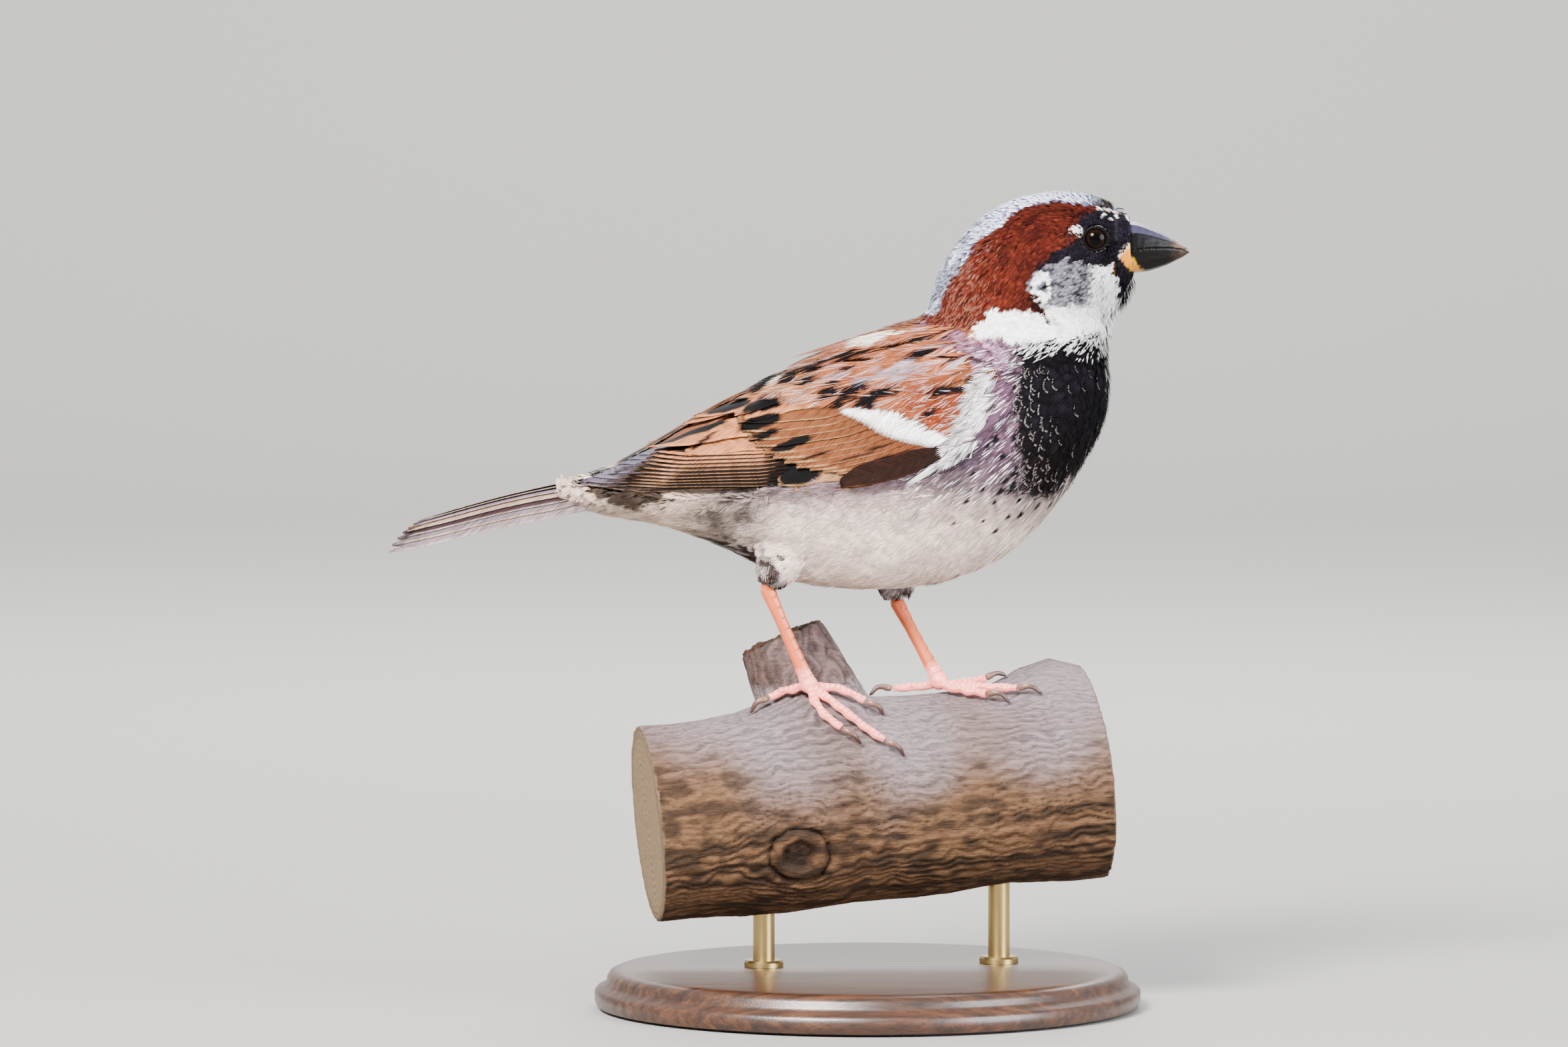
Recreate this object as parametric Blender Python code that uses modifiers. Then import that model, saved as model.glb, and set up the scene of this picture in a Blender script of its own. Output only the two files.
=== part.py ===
"""A male house sparrow, life size, gripping a cut length of branch on a plain display stand.

Lengths are in millimetres here and become metres where a mesh is made. +X is the way the trunk faces, +Y is the
bird's left and +Z is up. The origin is the centre of the base's underside.
"""

import math

import bmesh
import bpy
from mathutils import Matrix, Vector
from mathutils.bvhtree import BVHTree

MM = 0.001
GAP = 0.3  # clearance where two pieces meet

# ---------------------------------------------------------------- driving dimensions

# The trunk, out to the tips of its feathers and with the wings folded on it:
# (x, height of the back, height of the belly, half-width), from the breast to the tail coverts.
TRUNK = (
    (44.6, 116.0, 116.0, 0.0),
    (43.6, 121.0, 107.5, 8.0),
    (39.6, 124.6, 99.6, 13.4),
    (33.6, 126.6, 90.4, 17.2),
    (24.0, 127.6, 81.6, 19.4),
    (11.0, 127.0, 77.4, 20.2),
    (-2.0, 123.0, 76.6, 20.0),
    (-15.0, 117.0, 78.4, 18.4),
    (-27.0, 111.4, 84.4, 15.0),
    (-39.0, 104.2, 88.4, 11.2),
    (-49.0, 98.8, 89.9, 7.8),
    (-54.0, 97.5, 91.0, 6.0),
    (-57.6, 96.4, 92.4, 4.2),
    (-59.4, 94.8, 94.8, 0.0),
)
# The neck: (height, front, back, half-width), from inside the trunk up into the head.
NECK = (
    (106.0, 28.0, 28.0, 0.0),
    (109.0, 42.0, 12.0, 13.4),
    (115.0, 44.4, 8.6, 16.0),
    (120.5, 44.4, 9.2, 15.2),
    (126.0, 44.2, 11.0, 13.2),
    (131.0, 45.2, 11.6, 11.8),
    (135.5, 43.6, 14.0, 8.6),
    (138.0, 29.0, 29.0, 0.0),
)
# The head: (x, crown, throat, half-width), from the nape to the bill's base.
HEAD = (
    (10.8, 128.0, 128.0, 0.0),
    (11.8, 132.6, 122.6, 6.4),
    (14.6, 138.2, 119.8, 9.6),
    (19.6, 144.2, 118.0, 11.4),
    (26.4, 148.2, 117.6, 12.0),
    (33.4, 149.6, 118.4, 11.6),
    (39.8, 149.0, 121.4, 10.2),
    (44.6, 147.2, 126.2, 7.9),
    (47.6, 145.2, 130.8, 5.4),
    (49.4, 142.6, 134.6, 3.2),
    (50.2, 138.9, 138.9, 0.0),
)
NECK_BASE = ((9.0, 125.4), (44.6, 115.6))  # the plane that parts neck from trunk, as two (x, z)
NECK_TOP = ((11.4, 131.8), (45.4, 127.2))  # and head from neck
FLESH_VOXEL = 0.9
FLESH_KEEP = 0.036  # share of the remeshed faces that is kept

EYE_RADIUS = 2.7
EYE_CENTRE = (41.2, 6.8, 140.6)  # on the bird's left

# The bill: (x, culmen, gape line, lower edge, half-width).
BILL = (
    (45.0, 143.6, 138.0, 133.8, 3.9),
    (48.2, 143.7, 138.5, 134.2, 4.0),
    (51.4, 142.6, 138.8, 134.6, 3.3),
    (54.6, 141.0, 138.8, 135.7, 2.3),
    (57.2, 139.4, 138.6, 137.0, 1.2),
    (58.9, 138.4, 138.2, 137.9, 0.3),
)

# Folded wing: (x, lower edge height, upper edge height), from the shoulder to the tip.
WING = (
    (25.0, 109.0, 114.0),
    (20.0, 102.4, 119.6),
    (11.0, 98.2, 121.6),
    (0.0, 96.0, 119.8),
    (-12.0, 94.8, 116.2),
    (-24.0, 94.4, 111.6),
    (-34.0, 94.8, 106.4),
    (-43.0, 95.6, 100.6),
    (-49.0, 96.4, 98.4),
    (-53.4, 97.0, 97.6),
)
WING_PROUD = 0.9  # the wing stands this far off the trunk's side
WING_THICK = 2.2
WING_TIP_THICK = 1.1
WING_SLANT = 9.0  # the joints between a wing's lengths lean forward by this much
WING_SPLITS = (0.0, 0.48, 0.78, 1.0)  # shares of the length that are coverts, secondaries and primaries
WING_APART = 0.8  # each wing stops this far from the middle of the back

TAIL_BASE = (-50.0, 96.4)  # middle of the tail's root, (x, z)
TAIL_TIP = (-88.0, 86.9)
TAIL_BOW = 1.0  # how far the tail bows up between its root and its tip
TAIL_BASE_HALF, TAIL_TIP_HALF = 4.0, 9.6
TAIL_ROOT_ARCH, TAIL_ARCH = 4.8, 3.2  # how far the outer feathers hang below the middle pair at the root and the tip
TAIL_NOTCH = 0.15  # the middle pair is shorter than the outer pair by this share
TAIL_STEP = 0.26  # each feather's edges lie this far under its middle
TAIL_THICK = 1.0
TAIL_FEATHERS = 12

# Perch: a cut length of branch that runs under the bird, rising a little to its front.
PERCH_YAW = math.radians(9.0)
PERCH_TILT = math.radians(5.2)
PERCH_MIDDLE = (1.0, 5.0, 37.2)
PERCH_LENGTH = 84.0
PERCH_RADIUS = 18.4
# The flare under the stub: (distance along the perch, angle from its top, rise, length, spread).
STUB_FLARE = (-10.5, 0.30, 6.4, 9.0, 0.50)
BURL = (35.0, -0.55, 6.0, 9.0, 0.60)  # where the branch swells again, as for the flare
STUB_FOOT, STUB_END = (-8.0, 4.5, 50.0), (-16.0, 7.0, 67.5)
STUB_RADIUS = 8.2

BASE_RADIUS, BASE_THICK, BASE_BEVEL = 50.0, 7.0, 1.2
ROD_RADIUS = 2.0
ROD_SPREAD = 22.0  # each rod's distance from the perch's middle
ROD_SOCKET = 4.0  # how deep a rod goes into the base, and into the perch

TOE_RADIUS = 0.86
TARSUS_RADIUS = 1.15
HEEL_RADIUS = 1.45
SHIN_RADII = (5.8, 5.6, 5.2, 4.6, 3.8, 2.6)  # from the hip to the heel, feathers included
PALM_RADIUS = 1.75
CLAW_LENGTH = 4.6
CLAW_RADII = (0.62, 0.56, 0.46, 0.32, 0.16)
# A foot: its hip and heel, then its palm and each toe's route as places on the bark: (distance along the perch
# from its middle, degrees from its top towards the bird's right).
FEET = {
    "right": {
        "hip": (-13.0, -8.6, 90.0),
        "heel": (-18.4, -9.0, 77.2),
        "palm": (-11.8, 24.0),
        "toes": {
            "hind": ((-13.4, 20.0), (-15.6, 17.0), (-17.8, 17.0)),
            "inner": ((-10.0, 22.0), (-6.0, 24.0), (-2.0, 28.0)),
            "middle": ((-10.0, 27.0), (-6.4, 35.0), (-2.8, 44.0), (0.4, 52.0)),
            "outer": ((-11.2, 30.0), (-9.6, 38.0), (-7.0, 44.0)),
        },
    },
    "left": {
        "hip": (5.0, 8.6, 87.0),
        "heel": (5.4, 8.6, 73.6),
        "palm": (14.0, 2.0),
        "toes": {
            "hind": ((12.6, 0.0), (9.2, -2.0), (5.8, -3.0)),
            "inner": ((15.4, 7.0), (18.6, 15.0), (21.6, 21.0)),
            "middle": ((15.6, 4.0), (19.6, 9.0), (23.8, 15.0), (27.6, 20.0)),
            "outer": ((15.4, -2.0), (19.6, -5.0), (23.4, -7.0)),
        },
    },
}

COLOURS = {  # base colour, roughness, metallic
    "plumage_back": ((0.30, 0.12, 0.05, 1), 0.8, 0.0),
    "plumage_under": ((0.45, 0.41, 0.38, 1), 0.8, 0.0),
    "plumage_head": ((0.28, 0.09, 0.04, 1), 0.8, 0.0),
    "plumage_tail": ((0.16, 0.13, 0.12, 1), 0.8, 0.0),
    "horn": ((0.035, 0.035, 0.04, 1), 0.35, 0.0),
    "eye": ((0.012, 0.006, 0.004, 1), 0.05, 0.0),
    "leg": ((0.62, 0.27, 0.17, 1), 0.5, 0.0),
    "claw": ((0.10, 0.06, 0.05, 1), 0.4, 0.0),
    "bark": ((0.30, 0.22, 0.17, 1), 0.9, 0.0),
    "stand_wood": ((0.12, 0.055, 0.025, 1), 0.4, 0.0),
    "stand_metal": ((0.55, 0.50, 0.40, 1), 0.3, 1.0),
}


# ---------------------------------------------------------------- small tools


def clear_scene():
    for obj in list(bpy.data.objects):
        bpy.data.objects.remove(obj)


def new_collection(name, hidden=False):
    group = bpy.data.collections.new(name)
    bpy.context.scene.collection.children.link(group)
    group.hide_render = hidden
    return group


def material(name):
    made = bpy.data.materials.get(name)
    if made is None:
        colour, roughness, metallic = COLOURS[name]
        made = bpy.data.materials.new(name)
        made.use_nodes = True
        shader = made.node_tree.nodes["Principled BSDF"]
        shader.inputs["Base Color"].default_value = colour
        shader.inputs["Roughness"].default_value = roughness
        shader.inputs["Metallic"].default_value = metallic
    return made


def place(name, mesh, group, finish=None):
    obj = bpy.data.objects.new(name, mesh)
    group.objects.link(obj)
    if finish:
        mesh.materials.clear()
        mesh.materials.append(material(finish))
    return obj


def mesh_from(bm, name):
    mesh = bpy.data.meshes.new(name)
    bmesh.ops.recalc_face_normals(bm, faces=bm.faces)
    if bm.calc_volume(signed=True) < 0:
        bmesh.ops.reverse_faces(bm, faces=bm.faces)
    bm.to_mesh(mesh)
    bm.free()
    mesh.transform(Matrix.Scale(MM, 4))
    mesh.shade_smooth()
    return mesh


def applied(obj):
    """The object's mesh with its modifiers run, free of the object's own place."""
    bpy.context.view_layer.update()
    graph = bpy.context.evaluated_depsgraph_get()
    mesh = bpy.data.meshes.new_from_object(obj.evaluated_get(graph), depsgraph=graph)
    mesh.transform(obj.matrix_world)
    return mesh


def boolean(obj, other, operation):
    step = obj.modifiers.new(operation.lower(), "BOOLEAN")
    step.operation = operation
    step.solver = "EXACT"
    step.object = other
    return step


def baked(obj, name, group, finish):
    """Swaps an object for a finished one that holds its evaluated mesh."""
    mesh = applied(obj)
    bpy.data.objects.remove(obj)
    mesh.name = name
    return place(name, mesh, group, finish)


def blend(a, b, share):
    return a + (b - a) * share


def along(rows, share):
    """A Catmull-Rom curve through the rows of numbers, at a share of its length in rows. It runs on straight."""
    last = len(rows) - 1
    if share < 0:
        return [p + (q - p) * share * last for p, q in zip(rows[0], rows[1])]
    if share > 1:
        return [q + (q - p) * (share - 1) * last for p, q in zip(rows[-2], rows[-1])]
    at = share * last
    i = min(int(at), last - 1)
    t = at - i
    before, here = rows[max(i - 1, 0)], rows[i]
    there, after = rows[i + 1], rows[min(i + 2, last)]
    out = []
    for p, q, r, s in zip(before, here, there, after):
        out.append(
            q + 0.5 * t * (r - p + t * (2 * p - 5 * q + 4 * r - s + t * (3 * (q - r) + s - p)))
        )
    return out


def at_x(rows, x):
    """The curve through rows, at the place where its first number is x. The first numbers fall."""
    low, high = 0.0, 1.0
    for _ in range(30):
        middle = (low + high) / 2
        if along(rows, middle)[0] > x:
            low = middle
        else:
            high = middle
    return along(rows, (low + high) / 2)


# ---------------------------------------------------------------- trunk, neck and head


def loft(name, rows, upright, segments, rings, group):
    """A round body through stations of (place, high, low, half-width), along X, or along Z when upright."""
    bm = bmesh.new()
    bmesh.ops.create_uvsphere(bm, u_segments=segments, v_segments=rings, radius=1)
    for v in bm.verts:
        share = math.acos(min(1.0, max(-1.0, v.co.z))) / math.pi
        angle = math.atan2(v.co.y, v.co.x)
        spot, high, low, half = along(rows, share)
        middle, reach = (high + low) / 2, (high - low) / 2
        side, rise = half * math.sin(angle), middle + reach * math.cos(angle)
        v.co = (rise, side, spot) if upright else (spot, side, rise)
    return place(name, mesh_from(bm, name), group)


def whole_body(group):
    """Trunk, neck and head joined into one smooth form."""
    trunk = loft("trunk_form", TRUNK, False, 28, 30, group)
    for form in (
        loft("neck_form", NECK, True, 24, 16, group),
        loft("head_form", HEAD, False, 24, 22, group),
    ):
        boolean(trunk, form, "UNION")
    remesh = trunk.modifiers.new("remesh", "REMESH")
    remesh.mode = "VOXEL"
    remesh.voxel_size = FLESH_VOXEL * MM
    smooth = trunk.modifiers.new("smooth", "SMOOTH")
    smooth.factor = 0.5
    smooth.iterations = 8
    thin = trunk.modifiers.new("thin", "DECIMATE")
    thin.ratio = FLESH_KEEP
    return place("flesh", applied(trunk), group)


def half_space(name, line, above, shift, group):
    """A block that holds everything above, or below, the plane through a line of two (x, z)."""
    (x0, z0), (x1, z1) = line
    bm = bmesh.new()
    bmesh.ops.create_cube(bm, size=400)
    bmesh.ops.translate(bm, verts=bm.verts, vec=(0, 0, 200 + shift if above else -200 - shift))
    tilt = Matrix.Rotation(-math.atan2(z1 - z0, x1 - x0), 3, "Y")
    bmesh.ops.rotate(bm, verts=bm.verts, cent=(0, 0, 0), matrix=tilt)
    bmesh.ops.translate(bm, verts=bm.verts, vec=((x0 + x1) / 2, 0, (z0 + z1) / 2))
    return place(name, mesh_from(bm, name), group)


# ---------------------------------------------------------------- wings


def wing_point(share, rise, side, lift, wider):
    """A point of the folded wing: share of its length, rise from its lower edge to its upper, lift off the trunk.
    Wider spreads both edges by that much."""
    x, low, high = along(WING, share)
    x += WING_SLANT * (rise - 0.5) * math.sin(math.pi * min(1.0, max(0.0, share)))
    _, top, bottom, half = at_x(TRUNK, x)
    middle, reach = (top + bottom) / 2, (top - bottom) / 2
    inmost = math.asin(min(1.0, WING_APART / half))
    low_angle, high_angle = (
        max(inmost, math.acos(min(1.0, max(-1.0, (edge - middle) / reach)))) for edge in (low, high)
    )
    low_angle = max(low_angle, high_angle + 0.22)
    angle = max(0.04, blend(low_angle + wider / half, high_angle - wider / half, rise))
    y = (half + lift) * math.sin(angle)
    return Vector((x, side * y, middle + (reach + lift) * math.cos(angle)))


def slab(x_steps, y_steps):
    """A unit box from 0 to 1 each way, gridded along X and Y."""
    bm = bmesh.new()
    bmesh.ops.create_grid(bm, x_segments=x_steps, y_segments=y_steps, size=0.5)
    bmesh.ops.translate(bm, verts=bm.verts, vec=(0.5, 0.5, 0))
    made = bmesh.ops.extrude_face_region(bm, geom=bm.faces[:], use_keep_orig=True)
    upper = [v for v in made["geom"] if isinstance(v, bmesh.types.BMVert)]
    bmesh.ops.translate(bm, verts=upper, vec=(0, 0, 1))
    return bm


def wing_plate(name, side, shares, depths, wider, group, finish=None):
    """One length of the folded wing, between two shares of its length and two depths off the trunk's side."""
    grow = wider / (WING[0][0] - WING[-1][0])
    first, last = shares[0] - grow, shares[1] + grow
    bm = slab(max(4, round(18 * (last - first))), 5)
    for v in bm.verts:
        lift = blend(*depths, v.co.z)
        v.co = wing_point(blend(first, last, v.co.x), v.co.y, side, lift, wider)
    return place(name, mesh_from(bm, name), group, finish)


def wings(parts, cutters):
    """Both wings, each in three lengths, and the cutters that make room for them in the trunk."""
    names = ("wing_coverts", "wing_secondaries", "wing_primaries")
    room = []
    for side_name, side in (("right", -1), ("left", 1)):
        for i, name in enumerate(names):
            first, last = WING_SPLITS[i], WING_SPLITS[i + 1]
            keep = GAP / 2 / (WING[0][0] - WING[-1][0])
            span = (first + keep * (i > 0), last - keep * (i < 2))
            thick = WING_TIP_THICK if i == 2 else WING_THICK
            depths = (WING_PROUD - thick, WING_PROUD)
            wing_plate(f"{name}_{side_name}", side, span, depths, 0.0, parts, "plumage_back")
        depths = (WING_PROUD - WING_THICK - 1.5 * GAP, 4.0)
        room.append(wing_plate(f"wing_cutter_{side_name}", side, (0.0, 1.0), depths, 1.5 * GAP, cutters))
    return room


# ---------------------------------------------------------------- bill and eyes


def bill(name, halves, grow, group, finish=None):
    """The bill's upper half (1), its lower half (-1), or a cutter with both that is a little larger."""
    bm = bmesh.new()
    bmesh.ops.create_uvsphere(bm, u_segments=12, v_segments=12, radius=1)
    for v in bm.verts:
        share = math.acos(min(1.0, max(-1.0, v.co.z))) / math.pi
        angle = math.atan2(v.co.y, v.co.x)
        x, culmen, gape, under, half = along(BILL, share)
        close = min(1.0, 3 * math.hypot(v.co.x, v.co.y))  # rounds the two ends shut
        sign = 1 if math.cos(angle) > 0 else -1
        edge = gape + (GAP / 2 * halves[0] if len(halves) == 1 else 0.0)
        far = (culmen if sign > 0 else under) + sign * grow
        bow = abs(math.cos(angle)) ** 0.8 * close if sign in halves else 0.0
        z = edge + (far - edge) * bow
        v.co = (x + grow * (1 if share > 0.5 else -1), (half + grow) * math.sin(angle) * close, z)
    return place(name, mesh_from(bm, name), group, finish)


def eyeball(name, side, grow, group, finish=None):
    bm = bmesh.new()
    bmesh.ops.create_uvsphere(bm, u_segments=12, v_segments=8, radius=EYE_RADIUS + grow)
    x, y, z = EYE_CENTRE
    bmesh.ops.rotate(bm, verts=bm.verts, cent=(0, 0, 0), matrix=Matrix.Rotation(math.pi / 2, 3, "X"))
    bmesh.ops.translate(bm, verts=bm.verts, vec=(x, side * y, z))
    return place(name, mesh_from(bm, name), group, finish)


# ---------------------------------------------------------------- tail


def tail_plate(name, rows, wider, thick, group, finish=None):
    """The closed tail as one arched plate, ridged along each feather, each ending in a tip of its own."""
    bm = slab(5, rows)
    for v in bm.verts:
        across = 2 * v.co.y - 1
        in_feather = (v.co.y * TAIL_FEATHERS) % 1.0 if 0 < v.co.y < 1 else 0.0
        off_middle = abs(2 * in_feather - 1)
        rank = abs(across)
        length = v.co.x * (1 - TAIL_NOTCH * (1 - rank) - 0.02 * off_middle)
        x = blend(TAIL_BASE[0], TAIL_TIP[0], length)
        narrow = blend(TAIL_BASE_HALF, TAIL_TIP_HALF, length**0.8)
        half = narrow + wider
        drop = blend(TAIL_ROOT_ARCH, TAIL_ARCH, length) * (across * half / narrow) ** 2 + TAIL_STEP * off_middle
        bow = TAIL_BOW * math.sin(math.pi * length)
        z = blend(TAIL_BASE[1], TAIL_TIP[1], length) + bow - drop + thick * (v.co.z - 0.5)
        v.co = (x + wider * (1 - v.co.x), half * across, z)
    return place(name, mesh_from(bm, name), group, finish)


def tail(parts, cutters):
    tail_plate("tail", 2 * TAIL_FEATHERS, 0.0, TAIL_THICK, parts, "plumage_tail")
    return tail_plate("tail_cutter", 2 * TAIL_FEATHERS, GAP, TAIL_THICK + 4 * GAP, cutters)  # its sides are steep


# ---------------------------------------------------------------- perch and stand

PERCH_TURN = Matrix.Rotation(PERCH_YAW, 3, "Z") @ Matrix.Rotation(-PERCH_TILT, 3, "Y")


def perch_spot(distance, angle, radius):
    """A point at a distance along the perch's line, and at an angle from its top towards the bird's right."""
    local = Vector((distance, -radius * math.sin(angle), radius * math.cos(angle)))
    return PERCH_TURN @ local + Vector(PERCH_MIDDLE)


def swelling(distance, angle, shape):
    """How far a lump on the branch rises here."""
    at, turn, rise, length, spread = shape
    return rise * math.exp(-(((distance - at) / length) ** 2) - ((angle - turn) / spread) ** 2)


def bark_radius(distance, angle):
    """The branch isn't quite round: it swells at the burl and where the side shoot leaves it."""
    wave = 0.35 * math.sin(distance * 0.21 + 2 * angle) + 0.3 * math.sin(3 * angle + distance * 0.09)
    return PERCH_RADIUS + wave + swelling(distance, angle, BURL) + swelling(distance, angle, STUB_FLARE)


def rod_places():
    """Where each rod meets the perch's underside."""
    for end in (-1, 1):
        yield perch_spot(end * ROD_SPREAD, math.pi, PERCH_RADIUS)


def cylinder(name, radius, low, high, centre, segments, group, finish=None):
    bm = bmesh.new()
    bmesh.ops.create_cone(
        bm, cap_ends=True, segments=segments, radius1=radius, radius2=radius, depth=high - low
    )
    bmesh.ops.translate(bm, verts=bm.verts, vec=(centre[0], centre[1], (low + high) / 2))
    return place(name, mesh_from(bm, name), group, finish)


def perch(parts, cutters):
    bm = bmesh.new()
    bmesh.ops.create_cone(bm, cap_ends=True, segments=26, radius1=1, radius2=1, depth=PERCH_LENGTH)
    sides = [e for e in bm.edges if abs(e.verts[0].co.z - e.verts[1].co.z) > 1]
    bmesh.ops.subdivide_edges(bm, edges=sides, cuts=13, use_grid_fill=True)
    for v in bm.verts:
        angle = math.atan2(v.co.x, v.co.y)
        v.co = perch_spot(v.co.z, angle, bark_radius(v.co.z, angle))
    branch = place("perch_form", mesh_from(bm, "perch_form"), cutters)
    foot, end = Vector(STUB_FOOT), Vector(STUB_END)
    bm = bmesh.new()
    bmesh.ops.create_cone(
        bm, cap_ends=True, segments=16, radius1=STUB_RADIUS * 1.3, radius2=STUB_RADIUS, depth=(end - foot).length
    )
    lean = Vector((0, 0, 1)).rotation_difference(end - foot).to_matrix()
    bmesh.ops.rotate(bm, verts=bm.verts, cent=(0, 0, 0), matrix=lean)
    bmesh.ops.translate(bm, verts=bm.verts, vec=(foot + end) / 2)
    stub = place("stub_form", mesh_from(bm, "stub_form"), cutters)
    boolean(branch, stub, "UNION")
    for i, (x, y, z) in enumerate(rod_places()):
        hole = cylinder(f"perch_hole_{i}", ROD_RADIUS + GAP, z - 9, z + ROD_SOCKET + GAP, (x, y), 20, cutters)
        boolean(branch, hole, "DIFFERENCE")
    return baked(branch, "perch", parts, "bark")


def stand(parts, cutters):
    base = cylinder("stand_base", BASE_RADIUS, 0, BASE_THICK, (0, 0), 44, parts, "stand_wood")
    edge = base.modifiers.new("edge", "BEVEL")
    edge.width = BASE_BEVEL * MM
    edge.segments = 2
    edge.limit_method = "ANGLE"
    floor = BASE_THICK - ROD_SOCKET
    for name, (x, y, z) in zip(("stand_rod_rear", "stand_rod_front"), rod_places()):
        hole = cylinder(f"{name}_hole", ROD_RADIUS + GAP, floor - GAP, BASE_THICK + 5, (x, y), 20, cutters)
        boolean(base, hole, "DIFFERENCE")
        cylinder(name, ROD_RADIUS, floor, z + ROD_SOCKET, (x, y), 20, parts, "stand_metal")


# ---------------------------------------------------------------- legs


class Ground:
    """The perch's surface, for laying toes on."""

    def __init__(self, obj):
        bm = bmesh.new()
        bm.from_mesh(obj.data)
        bmesh.ops.triangulate(bm, faces=bm.faces)
        self.tree = BVHTree.FromBMesh(bm)
        bm.free()

    def spot(self, distance, degrees, lift):
        """The point above the bark at a place along and round the perch."""
        angle = math.radians(degrees)
        start = perch_spot(distance, angle, 60.0) * MM
        goal = perch_spot(distance, angle, 0.0) * MM
        hit, normal, _, _ = self.tree.ray_cast(start, (goal - start).normalized())
        return (hit / MM) + normal * lift

    def clear(self, point, room):
        """The point, pushed off the bark until it has that much room."""
        near, _, _, _ = self.tree.find_nearest(point * MM)
        away = point - near / MM
        inside = self.inside(point)
        if inside:
            return near / MM - away.normalized() * room
        if away.length < room:
            return near / MM + away.normalized() * room
        return point

    def inside(self, point):
        near, normal, _, _ = self.tree.find_nearest(point * MM)
        return (point * MM - near).dot(normal) < 0


def tube(name, points, radii, sides, group, finish=None):
    """A round rod through points, with a radius at each."""
    curve = bpy.data.curves.new(name, "CURVE")
    curve.dimensions = "3D"
    curve.bevel_depth = MM
    curve.bevel_resolution = sides
    curve.use_fill_caps = True
    line = curve.splines.new("POLY")
    line.points.add(len(points) - 1)
    for spot, point, radius in zip(line.points, points, radii):
        spot.co = (*(Vector(point) * MM), 1.0)
        spot.radius = radius
    obj = bpy.data.objects.new(name, curve)
    group.objects.link(obj)
    mesh = applied(obj)
    bpy.data.objects.remove(obj)
    bm = bmesh.new()
    bm.from_mesh(mesh)
    bmesh.ops.remove_doubles(bm, verts=bm.verts, dist=1e-6)
    bmesh.ops.recalc_face_normals(bm, faces=bm.faces)
    bm.to_mesh(mesh)
    bm.free()
    mesh.shade_smooth()
    return place(name, mesh, group, finish)


def toe_line(ground, palm, route, steps):
    """A smooth line over the bark, from the palm through the route."""
    laid = [ground.spot(along_it, degrees, TOE_RADIUS + GAP + 0.15) for along_it, degrees in route]
    rows = [tuple(palm)] + [tuple(p) for p in laid]
    line = [Vector(along(rows, i / steps)) for i in range(steps + 1)]
    return [line[0]] + [ground.clear(p, TOE_RADIUS + GAP + 0.1) for p in line[1:]]


def claw_line(ground, end, ahead, up):
    """A claw's curve: it rises from the toe, then hooks down to the bark."""
    points = []
    last = len(CLAW_RADII) - 1
    for t in (i / last for i in range(last + 1)):
        forward = CLAW_LENGTH * 0.88 * math.sin(t * 1.35) / math.sin(1.35)
        rise = 0.75 * math.sin(math.pi * min(1, t * 1.15)) - 1.7 * t**2.2
        points.append(end + ahead * forward + up * rise)
    return [ground.clear(p, r + GAP) for p, r in zip(points, CLAW_RADII)]


def ball(name, centre, radius, group):
    bm = bmesh.new()
    bmesh.ops.create_icosphere(bm, subdivisions=2, radius=radius)
    bmesh.ops.translate(bm, verts=bm.verts, vec=centre)
    return place(name, mesh_from(bm, name), group)


def shin(side_name, hip, heel, body, parts, cutters):
    """The feathered shin: a drumstick that comes out of the belly and opens round the heel's knuckle."""
    end = heel - (heel - hip).normalized() * GAP
    line = [blend(hip, end, t / 5) for t in range(6)]
    rod = tube(f"shin_{side_name}", line, SHIN_RADII, 3, parts, "plumage_under")
    boolean(rod, body, "DIFFERENCE")
    boolean(rod, ball(f"heel_cutter_{side_name}", heel, HEEL_RADIUS + GAP, cutters), "DIFFERENCE")


def foot(side_name, palm, ground, parts, cutters):
    """A palm and four toes joined, with a claw beyond each."""
    pad = ball(f"foot_form_{side_name}", palm, PALM_RADIUS, cutters)
    for toe, route in FEET[side_name]["toes"].items():
        steps = 3 + 2 * len(route)
        line = toe_line(ground, palm, route, steps)
        swell = [TOE_RADIUS * (1.12 + 0.10 * math.cos(i * 2.1) - 0.22 * i / steps) for i in range(steps + 1)]
        boolean(pad, tube(f"toe_{toe}_{side_name}", line, swell, 1, cutters), "UNION")
        ahead = (line[-1] - line[-2]).normalized()
        near, _, _, _ = ground.tree.find_nearest(line[-1] * MM)
        up = (line[-1] - near / MM).normalized()
        points = claw_line(ground, line[-1] + ahead * (GAP + 0.1) + up * 0.1, ahead, up)
        tube(f"claw_{toe}_{side_name}", points, CLAW_RADII, 1, parts, "claw")
    baked(pad, f"foot_{side_name}", parts, "leg")


def leg(side_name, ground, body, parts, cutters):
    shape = FEET[side_name]
    heel = Vector(shape["heel"])
    palm = ground.spot(*shape["palm"], PALM_RADIUS + GAP + 0.1)
    down = (palm - heel).normalized()
    shin(side_name, Vector(shape["hip"]), heel, body, parts, cutters)
    end = palm - down * (PALM_RADIUS * 0.95 + GAP)
    shank = [blend(heel, end, t / 6) for t in range(7)]
    wide = [HEEL_RADIUS, 1.3, TARSUS_RADIUS, TARSUS_RADIUS, TARSUS_RADIUS, 1.25, 1.4]
    tube(f"tarsus_{side_name}", shank, wide, 2, parts, "leg")
    foot(side_name, palm, ground, parts, cutters)


# ---------------------------------------------------------------- putting it together


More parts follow.
